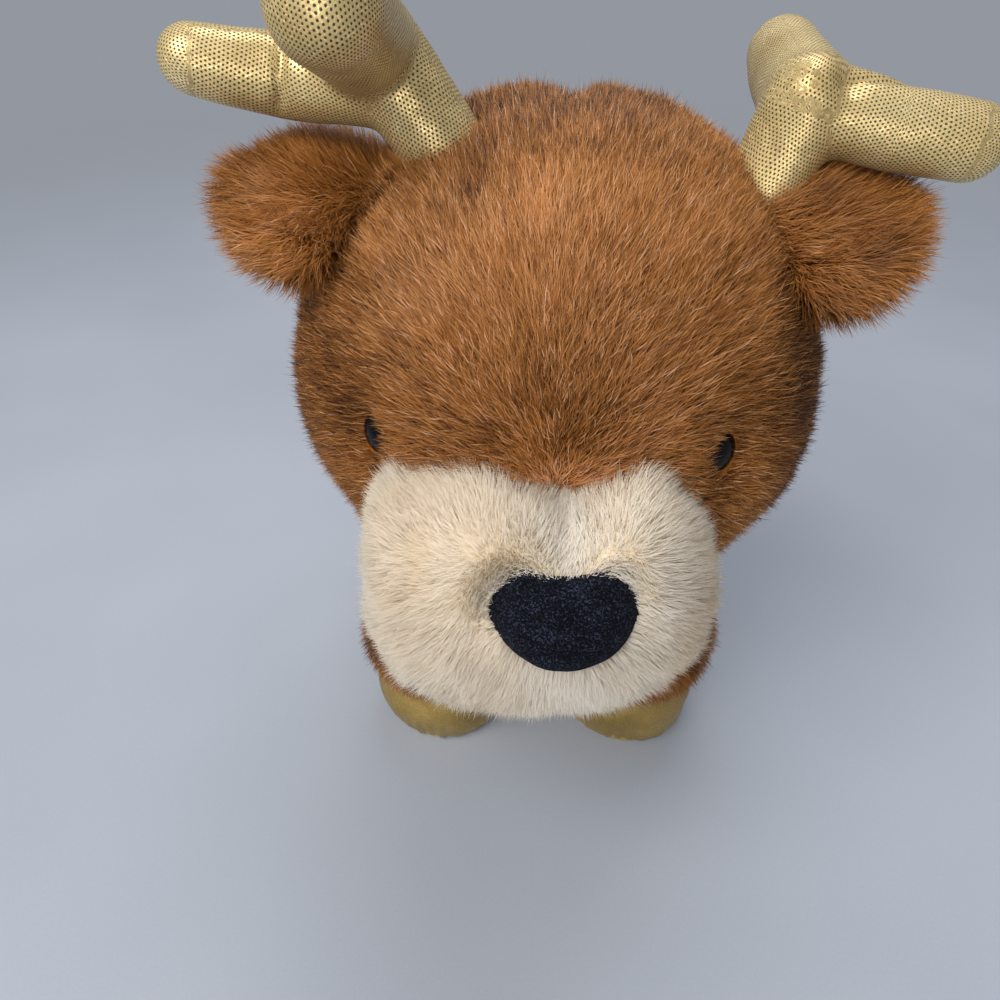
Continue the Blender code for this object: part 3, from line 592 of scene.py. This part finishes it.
SKINS = {
    "brown_fur": backing_material("brown_backing", (100, 58, 18), (152, 94, 36)),
    "cream_fur": backing_material("cream_backing", (222, 203, 173), (240, 226, 200)),
    "antler_foil": foil_material("antler_foil", ANTLER_TONES, True),
    "hoof_foil": foil_material("hoof_foil", HOOF_TONES, False),
    "nose_felt": felt_material(),
}


def soft_piece(name, skin, body, nodes, slot="brown_fur"):
    item = mesh_object(name, *skin)
    item.data.materials.append(SKINS[slot])
    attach(item, body)
    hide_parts(*nodes)
    return item


# ---- head

def head_radius(ways):
    """The stuffed head: a ball with two crown lobes, a pinched crown seam and sunk eyes."""
    spots = ways * HEAD_PLAN
    radius = np.full(len(ways), HEAD_SKIN)
    valley = ridge(spots[:, 0], 2.0, 4.6) * smooth(-6.0, 14.0, spots[:, 1]) * smooth(10.0, 45.0, spots[:, 2])
    radius += 2.0 * MM * smooth(46.0, 68.0, spots[:, 2]) - 6.0 * MM * valley
    radius -= 2.2 * MM * bump(spots, (24.0, -2.0, 72.0), (10.0, 4.0, 8.0))
    for side in SIDES:
        radius -= 3.2 * MM * bump(spots, unit(EYES[side] - HEAD) * HEAD_PLAN, 8.0)
    for cheek in ((-60.0, -40.0, -26.0), (50.0, -48.0, -32.0)):
        radius -= 3.8 * MM * bump(spots, cheek, 18.0)
    radius += 0.9 * MM * noise(spots, 30.0, 5) + 0.5 * MM * noise(spots, 13.0, 6)
    return radius


def inside_muzzle(points, grow):
    reach = MUZZLE_REACH + grow
    return np.sum(np.abs((points - MUZZLE_CENTRE) / reach) ** MUZZLE_POWER, 1) < 1.0


def muzzle_skin(level):
    """A boxy pad with two lobes over a cleft on top, and a lower edge that rises at the deer's left."""
    ways, faces = sphere_ways(level)
    radius = superball(ways, MUZZLE_REACH, MUZZLE_POWER)
    points = MUZZLE_CENTRE + ways * radius[:, None]
    spots = (points - HEAD) / MM
    x, z = spots[:, 0], spots[:, 2]
    top = smooth(-30.0, 5.0, z)
    lobes = ridge(x, -20.0, 10.0) + 1.7 * ridge(x, 17.0, 9.0)
    cleft = ridge(x, 1.0, 6.5) * smooth(-10.0, 6.0, z)
    points[:, 2] += (3.4 * lobes * top - 4.4 * cleft - 5.0 * smooth(24.0, 36.0, x) * top) * MM
    points[:, 2] += 7.4 * MM * smooth(-30.0, -58.0, z)
    points[:, 1] += 4.2 * MM * smooth(-24.0, -50.0, z) * smooth(-64.0, -86.0, spots[:, 1])
    low_left = smooth(6.0, 34.0, x) * smooth(-26.0, -48.0, z)
    low_right = smooth(-20.0, -42.0, x) * smooth(-32.0, -50.0, z)
    shoulder = smooth(-22.0, -40.0, x) * smooth(-14.0, 4.0, z)
    for share, way in ((low_left, (-9.0, 0.0, 7.5)), (low_right, (5.5, 0.0, 5.0)), (shoulder, (-2.4, 0.0, 2.4))):
        points += np.outer(share, way) * MM
    points += ways * (0.8 * MM * noise(spots, 18.0, 21) + 0.4 * MM * noise(spots, 8.0, 22))[:, None]
    gap = (points - NOSE_CENTRE) / MM
    side, rise, height = gap @ NOSE_ACROSS, gap @ NOSE_UP, gap @ NOSE_OUT
    beyond = np.hypot(side, rise) - nose_reach(np.arctan2(rise, side)) / MM
    pressed = np.maximum(height + 1.0 + NOSE_CURVE * np.minimum(side**2, 240.0), 0.0) * smooth(6.0, -0.5, beyond)
    beside = ridge(side, -23.0, 9.0) * ridge(rise, 8.0, 9.0)
    points -= np.outer((pressed + 2.4 * beside) * MM, NOSE_OUT)
    return points, faces


def head_nap(roots):
    """Away from the bridge of the nose: up the brow, back over the crown and down behind."""
    behind = smooth(20.0, 60.0, (roots[:, 1] - HEAD[1]) / MM)[:, None]
    return unit(roots - BRIDGE) * (1.0 - behind) + (0.0, 0.2, -1.0) * behind


def ear_gap(roots):
    """1 along the crease where an ear's edge hangs clear of the head, falling to 0 beside it; there the head's fur
    gets painted shadow and a shorter pile.
    """
    gap = np.zeros(len(roots))
    for start, end in EAR_SHADE_LINES:
        start, end = HEAD + mm(*start), HEAD + mm(*end)
        share = np.clip((roots - start) @ (end - start) / np.sum((end - start) ** 2), 0.0, 1.0)
        off = distance(roots - start, np.outer(share, end - start))
        gap = np.maximum(gap, ridge(off, 0.0, 3.2 * MM))
    return gap


def head_tone(roots):
    """Mid brown with painted light: a paler, pinkish band over the brow as a painted sheen; painted shade in two
    dark patches in a fold by the deer's right antler root, in the gap under each ear, on the crown and down both
    sides; darker round the eyes; an orange bridge.
    """
    spots = (roots - HEAD) / MM
    tone = 0.37 + 0.12 * noise(spots, 24.0, 31) + 0.10 * noise(spots, 7.0, 32)
    # painted sheen: the positive gains make a paler, pinkish band over the brow
    for centre, width, gain in (
        ((-16.0, -46.0, 56.0), (10.0, 10.0, 7.0), 0.09), ((-5.0, -38.0, 63.0), (9.0, 12.0, 6.0), 0.10),
        ((6.0, -22.0, 70.0), (7.0, 14.0, 8.0), 0.04), ((24.0, -40.0, 58.0), (13.0, 16.0, 11.0), 0.09),
        # painted shade: the two negative gains are dark patches in a fold by the deer's right antler root
        ((-21.0, -37.0, 62.0), (3.5, 7.0, 6.0), -0.20), ((-18.0, -26.0, 68.0), (4.0, 6.0, 5.0), -0.20),
    ):
        tone += gain * bump(spots, centre, width)
    for side in SIDES:
        tone -= 0.20 * bump(roots, EYES[side], 9 * MM)
    # painted shadow in the gap under each ear's edge, and painted shade darkening the crown
    tone -= 0.45 * ear_gap(roots) + 0.16 * smooth(62.0, 73.0, spots[:, 2])
    # painted shade: both sides of the head darker, the deer's left side more
    tone -= 0.22 * smooth(-42.0, -62.0, spots[:, 0]) + 0.34 * smooth(40.0, 60.0, spots[:, 0])
    bridge = bump(spots, (1.0, -74.0, 13.0), (9.0, 8.0, 5.0))
    return np.clip(tone, 0.02, 0.88) * (1.0 - bridge) + 0.97 * bridge


def clear_of_eyes(roots):
    """Leaves a narrow upright slit over each eye."""
    clear = np.ones(len(roots), bool)
    for side in SIDES:
        gap = (roots - EYES[side]) / MM
        level = unit(np.cross(EYES[side] - HEAD, (0.0, 0.0, 1.0)))
        across, high = (4.6, 6.6) if side == "left" else (3.9, 6.0)
        clear &= np.hypot((gap @ level) / across, gap[:, 2] / high) > 1.0
    return clear


def clear_of_antlers(roots):
    clear = np.ones(len(roots), bool)
    for side in SIDES:
        place = HEAD + unit(antler_bones(side)["beam"][0] - HEAD) * HEAD_SKIN
        clear &= distance(roots, place) > 10.5 * MM
    return clear


def make_head():
    ways, faces = sphere_ways(6)
    skin = (HEAD + ways * head_radius(ways)[:, None], faces)
    soft_piece("head", skin, "head", ("head_cover", "head_stuffing"))

    def keep(roots):
        return clear_of_eyes(roots) & clear_of_antlers(roots) & ~inside_muzzle(roots, 1.5 * MM)

    def length(roots):
        near = np.max([bump(roots, EYES[side], 9 * MM) for side in SIDES], 0)
        return HEAD_PILE * (1.0 - 0.45 * near) * (1.0 - 0.4 * ear_gap(roots))

    def behind(roots):
        return roots[:, 1] - HEAD[1] + 4 * MM * noise(roots, 3 * MM, 33) > 16 * MM

    lean = (34.0, 56.0, 68.0)
    fur("head_fur", "head", skin, 6.0, length, head_nap, head_tone, 101,
        lambda roots: keep(roots) & ~behind(roots), lean=lean, width=0.80, speckle=0.16)
    fur("head_back_fur", "head", skin, 3.4, length, head_nap, head_tone, 151,
        lambda roots: keep(roots) & behind(roots), lean=lean, width=1.15)


def cream_tone(roots):
    spots = (roots - HEAD) / MM
    tone = 0.60 + 0.12 * noise(spots, 15.0, 41) + 0.06 * noise(spots, 5.0, 42)
    tone -= 0.08 * bump(spots, (-13.0, -88.0, 6.0), (8.0, 10.0, 7.0))
    # painted shade: the lower part of the muzzle on the deer's left side is darker
    tone -= 0.20 * smooth(18.0, 34.0, spots[:, 0]) * smooth(10.0, -14.0, spots[:, 2])
    return tone + 0.16 * smooth(36.0, 18.0, distance(roots, NOSE_CENTRE) / MM)


def nose_reach(turn):
    """The pad's outline as a distance from its centre: an uneven bean with a notch on top."""
    curve = catmull_rom(NOSE_OUTLINE, 6, closed=True)
    turns = np.mod(np.arctan2(curve[:, 1], curve[:, 0]), 2 * pi)
    order = np.argsort(turns)
    return np.interp(np.mod(turn, 2 * pi), turns[order], np.hypot(*curve[order].T), period=2 * pi) * MM


def on_nose(roots, grow):
    gap = roots - NOSE_CENTRE
    x, y = gap @ NOSE_ACROSS, gap @ NOSE_UP
    return (distance(roots, NOSE_CENTRE) < 26 * MM) & (np.hypot(x, y) < nose_reach(np.arctan2(y, x)) + grow)


def make_muzzle():
    skin = muzzle_skin(5)
    soft_piece("muzzle", skin, "head", ("muzzle_cover", "muzzle_stuffing"), "cream_fur")

    def keep(roots):
        return (distance(roots, HEAD) > HEAD_SKIN - 1 * MM) & ~on_nose(roots, -1.8 * MM)

    def length(roots):
        near = bump(roots, NOSE_CENTRE, 20 * MM)
        return (MUZZLE_PILE + 1.2 * MM * noise(roots, 6 * MM, 43)) * (1.0 - 0.22 * near)

    def upright(roots):
        return 0.40 * bump(roots, NOSE_CENTRE, 21 * MM)

    fur("muzzle_fur", "head", skin, 8.0, length, lambda roots: roots - NOSE_CENTRE, cream_tone, 201, keep,
        "cream_fur", lean=(14.0, 32.0, 48.0), mess=0.50, clump=0.45, width=0.78, upright=upright,
        speckle=0.04, crisp=0.16)


def make_nose():
    """A puffed felt pad that is pressed into the pile at its edge."""
    rings, steps = 22, 96
    turns = np.arange(steps) * 2 * pi / steps
    layers = [(NOSE_FRONT, ring / rings) for ring in range(1, rings + 1)]
    layers += [(-NOSE_BACK, (rings - ring) / rings) for ring in range(1, rings)]
    points = [NOSE_CENTRE + NOSE_OUT * NOSE_FRONT * MM]
    for height, share in layers:
        reach = nose_reach(turns) * share
        flat = np.outer(np.cos(turns) * reach, NOSE_ACROSS) + np.outer(np.sin(turns) * reach, NOSE_UP)
        lift = height * (1.0 - share**2.6) ** 0.5 * MM
        curve = -NOSE_CURVE * (np.cos(turns) * reach / MM) ** 2 * MM
        points.extend(NOSE_CENTRE + flat + np.outer(lift + curve, NOSE_OUT))
    points.append(NOSE_CENTRE - NOSE_OUT * NOSE_BACK * MM)
    points, faces = np.array(points), ring_faces(len(layers), steps)
    points += vertex_normals(points, faces) * (0.25 * MM * noise(points, 5 * MM, 61))[:, None]
    soft_piece("nose", (points, faces), "head", ("nose_pad",), "nose_felt")


def make_eyes():
    gloss, milky = gloss_material(), washer_material()
    for side in SIDES:
        outward = unit(EYES[side] - HEAD)
        dome = [(6.5 * sin(step * pi / 40), 4.5 * cos(step * pi / 40)) for step in range(21)]
        outline = [(x * MM, y * MM) for x, y in dome + [(6.3, -0.5), (1.6, -0.7), (1.6, -8.5), (0.0, -8.7)]]
        points, faces = lathe(outline, 64)
        points = aimed(points, outward) + EYES[side] - outward * 2.4 * MM
        item = mesh_object(f"eye_{side}_bead", points, faces)
        item.data.materials.append(gloss)
        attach(item, "head")
        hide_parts(f"eye_{side}")
        washer = frame["nodes"][f"eye_washer_{side}"]
        washer.data.materials.clear()
        washer.data.materials.append(milky)


# ---- ears

def ear_axes(side):
    """An ear's middle, and its ways along, across and out of its upper face."""
    mirror = np.array((SIDES[side], 1.0, 1.0))
    place = HEAD + mm(*EAR_MIDDLES[side])
    along = unit((0.97, 0.02, 0.03) * mirror)
    across = unit((0.06, -0.90, -0.42) * mirror)
    across = unit(across - along * (across @ along))
    face = np.cross(along, across)
    return place, along, across, face if face[2] > 0 else -face


def ear_tone(roots):
    spots = (roots - HEAD) / MM
    return 0.35 + 0.15 * noise(spots, 12.0, 71) + 0.12 * noise(spots, 5.0, 72)


def make_ears():
    """Rounded leaves whose lower edge hangs clear of the head, with one soft fold in front."""
    leaf = np.array(EAR_OUTLINE, float)
    leaf_turns = np.radians(leaf[:, 0])
    for side, sign in SIDES.items():
        place, along, across, face = ear_axes(side)
        ways, faces = sphere_ways(5)
        turn = np.arctan2(ways[:, 1], ways[:, 0])
        flat = np.hypot(ways[:, 0], ways[:, 1])
        reach = np.interp(turn, leaf_turns, leaf[:, 1], period=2 * pi) * EAR_SCALES[side] * MM * flat
        a, w = reach * np.cos(turn), reach * np.sin(turn)
        out = ways[:, 2] * (4.2 - 1.0 * flat**2) * MM - 0.008 * w**2 / MM
        out += 1.3 * MM * noise(np.stack([a, w, w * 0], 1), 13 * MM, 70 + int(sign))
        fold = ridge((w + 0.12 * a) / MM, 9.0, 2.4) * smooth(14.0, 4.0, np.abs(a / MM - 2.0))
        out -= 3.0 * MM * fold * (ways[:, 2] > 0)
        points = place + np.outer(a, along) + np.outer(w, across) + np.outer(out, face)
        if np.dot(np.cross(along, across), face) < 0:
            faces = faces[:, ::-1]
        skin = (points, faces)
        ear = f"ear_{side}"
        soft_piece(ear, skin, ear, (f"{ear}_front", f"{ear}_back"))

        def nap(roots, place=place, along=along, across=across):
            gap = (roots - place) / MM
            return along * (0.9 + (gap @ along)[:, None] / 22.0) + across * (0.25 + (gap @ across)[:, None] / 18.0)

        fur(f"{ear}_fur", ear, skin, 6.8, EAR_PILE, nap, ear_tone, 301,
            lambda roots: distance(roots, HEAD) > HEAD_SKIN,
            lean=(16.0, 38.0, 52.0), mess=0.45, clump=0.40, width=0.88)


# ---- antlers

def capsule(start, end, first, second):
    """Points and faces of a round-ended tapered tube."""
    reach = np.linalg.norm(end - start)
    outline = [(0.0, -first)] + [(first * sin(t), -first * cos(t)) for t in np.linspace(0.2, pi / 2, 7)]
    outline += [(second * cos(t), reach + second * sin(t)) for t in np.linspace(0.0, pi / 2 - 0.2, 7)]
    points, faces = lathe(outline + [(0.0, reach + second)], 28)
    return aimed(points, end - start) + start, faces[:, ::-1]


def merged(name, parts, voxel, rounds):
    """One smooth closed skin round several solids."""
    points, faces, start = [], [], 0
    for some_points, some_faces in parts:
        points.append(some_points)
        faces.append(some_faces + start)
        start += len(some_points)
    item = mesh_object(name, np.concatenate(points), np.concatenate(faces))
    remesh = item.modifiers.new("merge", "REMESH")
    remesh.mode = "VOXEL"
    remesh.voxel_size = voxel
    soften = item.modifiers.new("soften", "SMOOTH")
    soften.factor = 0.5
    soften.iterations = rounds
    bpy.context.view_layer.update()
    mesh = bpy.data.meshes.new_from_object(item.evaluated_get(bpy.context.evaluated_depsgraph_get()))
    bpy.data.objects.remove(item)
    shape = bmesh.new()
    shape.from_mesh(mesh)
    bmesh.ops.triangulate(shape, faces=shape.faces)
    result = np.array([corner.co[:] for corner in shape.verts])
    corners = np.array([[corner.index for corner in face.verts] for face in shape.faces])
    shape.free()
    return result, corners


def antler_bones(side):
    """An antler's tubes: start, end and the radius at each."""
    shape = ANTLERS[side]
    root = PIVOTS[f"antler_{side}_lean"] + mm(*shape["shift"])
    beam, upper, outer, tip = (
        unit(shape[key]) * reach * MM for key, reach in zip(("beam", "upper", "outer", "tip"), shape["reaches"])
    )
    first, second, third, fourth, fifth = (radius * MM for radius in shape["radii"])
    fork, split = root + beam, root + beam * shape["split"]
    elbow = split + outer
    return {
        "beam": (root - unit(beam) * 6 * MM, fork, first, second),
        "upper": (fork, fork + upper, second, third),
        "outer": (split, elbow, (second + fourth) / 2, fourth),
        "tip": (elbow, elbow + tip, fourth, fifth),
    }


def wrapped(points, bones):
    """The cloth's own map in metres: round and along each tube, and flat over each round end."""
    closest = np.full(len(points), np.inf)
    spots = np.zeros((len(points), 2))
    for name, (start, end, big, small) in bones.items():
        reach = np.linalg.norm(end - start)
        way = (end - start) / reach
        along = (points - start) @ way
        share = np.clip(along / reach, 0.0, 1.0)
        offset = points - start - np.outer(share * reach, way)
        off_skin = np.linalg.norm(offset, axis=1) - (big + (small - big) * share)
        across = unit(np.cross(way, (0.3, 1.0, 0.2)))
        other = np.cross(way, across)
        turn = np.arctan2(offset @ other, offset @ across)
        begin = {"beam": 0.0, "upper": 26 * MM, "outer": 26 * MM, "tip": 47 * MM}[name]
        here = np.stack([turn * (big + small) / 2, along + begin], 1)
        if name in ("upper", "tip"):
            over = along > reach
            level = np.stack([offset @ across, offset @ other], 1)
            arc = small * np.arctan2(np.linalg.norm(level, axis=1), along - reach)
            disc = level / np.maximum(np.linalg.norm(level, axis=1, keepdims=True), 1e-9) * arc[:, None]
            here[over] = disc[over]
        nearer = off_skin < closest
        spots[nearer] = here[nearer]
        closest = np.minimum(closest, off_skin)
    return spots


def cloth_map(item, spots):
    layer = item.data.uv_layers.new(name="knit")
    indices = np.zeros(len(item.data.loops), np.int32)
    item.data.loops.foreach_get("vertex_index", indices)
    layer.uv.foreach_set("vector", spots[indices].reshape(-1).astype(np.float32))


def make_antlers():
    """Stuffed tubes with a soft fork and a crease or two."""
    for side in SIDES:
        bones = antler_bones(side)
        points, faces = merged(f"antler_{side}_draft", [capsule(*bone) for bone in bones.values()], 1.1 * MM, 10)
        fork, elbow = bones["beam"][1], bones["tip"][0]
        first = unit(ANTLERS[side]["outer"])
        spots = wrapped(points, bones)
        normals = vertex_normals(points, faces)
        root = bones["beam"][0] + (fork - bones["beam"][0]) * 0.35
        near_root = bump(points, root, 9 * MM)
        lumps = noise(points, 16 * MM, 84) * 0.9 + noise(points, 6 * MM, 85) * 0.25
        shift = lumps * 0.55
        shift -= near_root * np.clip(1.0 - np.abs(noise(points, 5 * MM, 88)) - 0.6, 0.0, 1.0) * 2.4
        gap = (points - elbow) / MM
        way = unit(bones["tip"][1] - elbow)
        bend = ridge(gap @ way, 1.5, 1.1) * np.exp(-np.abs(np.linalg.norm(gap, axis=1) - 10.0) / 3.0)
        front = smooth(-2.0, 5.0, gap @ unit((0.0, -0.77, 0.64)))
        if side == "right":
            shift -= 1.5 * bend * front
        else:
            height = (points - fork) @ unit((0.0, 0.64, 0.77)) / MM
            length = (points - fork) @ first / MM
            crease = ridge(height, 1.5, 1.0) * front
            shift -= 1.3 * crease * smooth(4.0, 9.0, length) * smooth(34.0, 20.0, length)
            shift -= 2.2 * bump(points, fork + mm(6.0, -8.0, 6.0), 3.5 * MM)
        points = points + normals * (shift * MM)[:, None]
        nodes = (f"antler_{side}_cover", f"antler_{side}_stuffing")
        item = soft_piece(f"antler_{side}", (points, faces), f"antler_{side}", nodes, "antler_foil")
        cloth_map(item, spots)


# ---- body, neck, legs, tail

BODY_NAP = np.array((0.0, 0.75, -0.55))
DOWN = np.array((0.0, 0.0, -1.0))


def outside_head(points, radius):
    """Points moved out of a ball round the head's centre."""
    gap = points - HEAD
    reach = np.linalg.norm(gap, axis=1, keepdims=True)
    return HEAD + gap / reach * np.maximum(reach, radius)


def brown_tone(roots):
    spots = (roots - HEAD) / MM
    return 0.42 + 0.15 * noise(spots, 24.0, 91) + 0.14 * noise(spots, 8.0, 92)


def shaded_leg_tone(roots):
    # painted shade: the legs are darker, standing in the shadow under the body and head
    return brown_tone(roots) - 0.24


def leg_place(corner):
    return PIVOTS[f"leg_{corner}_swing"]


def make_body():
    ways, faces = sphere_ways(6)
    points = ways * superball(ways, BODY_REACH, BODY_POWER)[:, None]
    waist = 1.0 - 0.06 * np.cos(np.clip(points[:, 1] / BODY_REACH[1], -1, 1) * pi / 2)
    points[:, 0] *= waist
    points = BODY_CENTRE + points
    points += ways * (1.2 * MM * noise(points, 34 * MM, 95) + 0.5 * MM * noise(points, 14 * MM, 96))[:, None]
    skin = (outside_head(points, BODY_START), faces)
    soft_piece("body", skin, "torso", ("body_cover", "body_stuffing"))

    def keep(roots):
        clear = distance(roots, HEAD) > BODY_PILE_START
        for corner in CORNERS:
            clear &= distance(roots, leg_place(corner) + mm(0.0, 0.0, -4.0)) > 24 * MM
        return clear

    fur("body_fur", "torso", skin, 1.7, BODY_PILE, BODY_NAP, brown_tone, 401, keep, width=1.25)


def make_neck():
    line = unit((0.0, sin(NECK_TILT), -cos(NECK_TILT)))
    ways, faces = sphere_ways(4)
    points = HEAD + line * 86 * MM + ways * superball(ways, NECK_REACH, NECK_POWER)[:, None]
    skin = (outside_head(points, HEAD_SKIN), faces)
    soft_piece("neck_stub", skin, "neck", ("neck",))
    fur("neck_fur", "neck", skin, 1.6, NECK_PILE, BODY_NAP, brown_tone, 451, width=1.25)


def make_legs():
    for index, corner in enumerate(CORNERS):
        place = leg_place(corner)
        points, faces = turned([
            (0.0, 19.0), (11.0, 17.0), (20.0, 10.5), (24.8, 1.0), (26.4, -7.0),
            (26.0, -14.0), (22.5, -20.5), (12.0, -23.0), (0.0, -23.5),
        ], 5, 48)
        points = points + place
        points += unit(points - place) * (0.6 * MM * noise(points, 12 * MM, 97 + index))[:, None]
        skin = (points, faces)
        leg = f"leg_{corner}"
        soft_piece(leg, skin, leg, (f"{leg}_cover", f"{leg}_stuffing"))

        def keep(roots, place=place):
            return (distance(roots, HEAD) > LEG_PILE_START) & (roots[:, 2] > place[2] - 21.5 * MM)

        fur(f"{leg}_fur", leg, skin, 3.0, LEG_PILE, DOWN, shaded_leg_tone, 500 + index, keep,
            lean=(20.0, 44.0, 62.0), width=1.15)
        make_hoof(corner, index)


def make_hoof(corner, index):
    place = leg_place(corner)
    points, faces = turned([
        (0.0, 37.0), (13.0, 37.2), (21.5, 36.4), (23.6, 33.5), (26.4, 28.0), (28.6, 19.0),
        (28.0, 10.0), (26.3, 3.2), (24.4, 0.5), (22.0, 0.0), (10.0, 0.0), (0.0, 0.0),
    ], 6, 120)
    turns = np.arctan2(points[:, 1], points[:, 0])
    heights = points[:, 2] / MM
    outer = smooth(12.0, 22.0, np.hypot(points[:, 0], points[:, 1]) / MM) * (heights > 0.2)
    pleats = np.cos(turns * 17 + 2.0 * np.sin(turns * 3 + index)) * smooth(26.0, 37.0, heights) * 0.35
    gathers = np.cos(turns * 23 + 1.7 * np.sin(turns * 2 + index)) * smooth(9.0, 1.5, heights) * 0.30
    front = ridge(turns, -pi / 2 - 0.2, 0.35) * smooth(26.0, 6.0, heights)
    pinch = -front * (0.9 + 0.9 * np.cos(turns * 34))
    lumps = noise(points + index * 0.05, 13 * MM, 111) * 0.9 + noise(points + index * 0.05, 5 * MM, 112) * 0.25
    out = np.stack([np.cos(turns), np.sin(turns), np.zeros(len(points))], 1)
    points = points + out * ((pleats + gathers + pinch + lumps) * outer * MM)[:, None]
    points = points + (place[0], place[1], 0.0)
    nodes = (f"hoof_{corner}_cover", f"hoof_{corner}_sole")
    soft_piece(f"hoof_{corner}", (points, faces), f"leg_{corner}", nodes, "hoof_foil")


def make_tail():
    place = PIVOTS["tail_wag"]
    lean = radians(62.0)
    way = np.array((0.0, sin(lean), cos(lean)))
    points, faces = turned([
        (0.0, -6.0), (4.5, -3.0), (5.0, 3.0), (6.5, 14.0), (7.0, 24.0), (5.0, 34.0), (0.0, 38.0),
    ], 5, 32)
    skin = (aimed(points, way) + place, faces[:, ::-1])
    soft_piece("tail_stub", skin, "tail", ("tail",))
    fur("tail_fur", "tail", skin, 5.0, TAIL_PILE, way, brown_tone, 601, lean=(20.0, 40.0, 55.0))


# ---- stage, light and camera

FLOOR_REACH, FADE_START, FADE_END = 12.0, 0.30, 1.30
LIT_POINT = (0.0, -0.04, 0.15)
LIGHTS = (  # name, place, size, power and colour
    ("key", (-0.58, -0.70, 1.18), 0.9, 17.5, (1.0, 0.97, 0.93)),
    ("top", (0.10, 0.45, 1.38), 0.9, 10.0, (0.98, 0.98, 1.0)),
    ("fill", (-0.05, -1.1, 0.34), 0.7, 4.2, (1.0, 0.98, 0.96)),
)
CAMERA_PLACE = HEAD + mm(-12.0, -203.0, 118.0)
CAMERA_TURNS = (1.1, 40.0, 0.3)  # azimuth, pitch and roll, in degrees
SENSOR, FOCAL_SHARE = 36.0, 0.751


def make_stage():
    """A pale table top that fades into the backdrop's colour away from the object."""
    nodes = Nodes("pale_table")
    speck = nodes.noise(900.0, 2.0, 0.6)
    level = nodes.weighed(speck, 0.3, nodes.noise(6.0, 2.0))
    colour = nodes.ramp(level, ((0.3, (148, 153, 162)), (0.7, (158, 163, 172))))
    nodes.finish(Base_Color=colour, Roughness=nodes.math("MULTIPLY_ADD", speck, 0.1, 0.55), Specular_IOR_Level=0.25)
    away = nodes.add("VectorMath", {0: nodes.place()}, operation="LENGTH").outputs["Value"]
    fade = nodes.add("MapRange", {"Value": away, "From Min": FADE_START, "From Max": FADE_END},
                     interpolation_type="SMOOTHSTEP").outputs["Result"]
    far = nodes.add("Emission", {"Color": BACKDROP, "Strength": 1.0})
    share = nodes.times(nodes.seen(), fade)
    nodes.blend(share, nodes.shader.outputs["BSDF"], far.outputs["Emission"])
    steps = 96
    turns = [2 * pi * step / steps for step in range(steps)]
    floor = mesh_object("floor", [(FLOOR_REACH * cos(turn), FLOOR_REACH * sin(turn), 0.0) for turn in turns],
                        [tuple(range(steps))])
    floor.location.z = -0.2 * MM
    floor.data.materials.append(nodes.owner)


def make_lights():
    for name, place, size, power, colour in LIGHTS:
        light = bpy.data.lights.new(name, "AREA")
        light.shape = "DISK"
        light.size = size
        light.energy = power
        light.color = colour
        item = linked(name, light)
        item.location = place
        item.rotation_mode = "QUATERNION"
        item.rotation_quaternion = (Vector(LIT_POINT) - Vector(place)).to_track_quat("-Z", "Y")
    nodes = Nodes("studio", "worlds")
    bpy.context.scene.world = nodes.owner
    plain = nodes.tree.nodes["Background"]
    nodes.put(plain.inputs["Color"], (0.62, 0.68, 0.76, 1.0))
    nodes.put(plain.inputs["Strength"], 0.58)
    backdrop = nodes.add("Background", {"Color": BACKDROP})
    nodes.blend(nodes.seen(), plain.outputs[0], backdrop.outputs[0], "World Output")


def make_camera():
    camera = bpy.data.cameras.new("camera")
    camera.sensor_width = SENSOR
    camera.lens = SENSOR * FOCAL_SHARE
    camera.clip_start = 0.01
    item = linked("camera", camera)
    turn, pitch, roll = (radians(angle) for angle in CAMERA_TURNS)
    forward = np.array((-sin(turn) * cos(pitch), cos(turn) * cos(pitch), -sin(pitch)))
    level = np.array((cos(turn), sin(turn), 0.0))
    upright = np.cross(level, forward)
    right = level * cos(roll) + upright * sin(roll)
    up = upright * cos(roll) - level * sin(roll)
    rows = np.stack([right, up, -forward, CAMERA_PLACE], 1)
    item.matrix_world = Matrix([*rows.tolist(), (0.0, 0.0, 0.0, 1.0)])
    bpy.context.scene.camera = item


make_head()
make_muzzle()
make_nose()
make_eyes()
make_ears()
make_antlers()
make_body()
make_neck()
make_legs()
make_tail()
make_stage()
make_lights()
make_camera()
bpy.context.scene.view_settings.view_transform = "Standard"
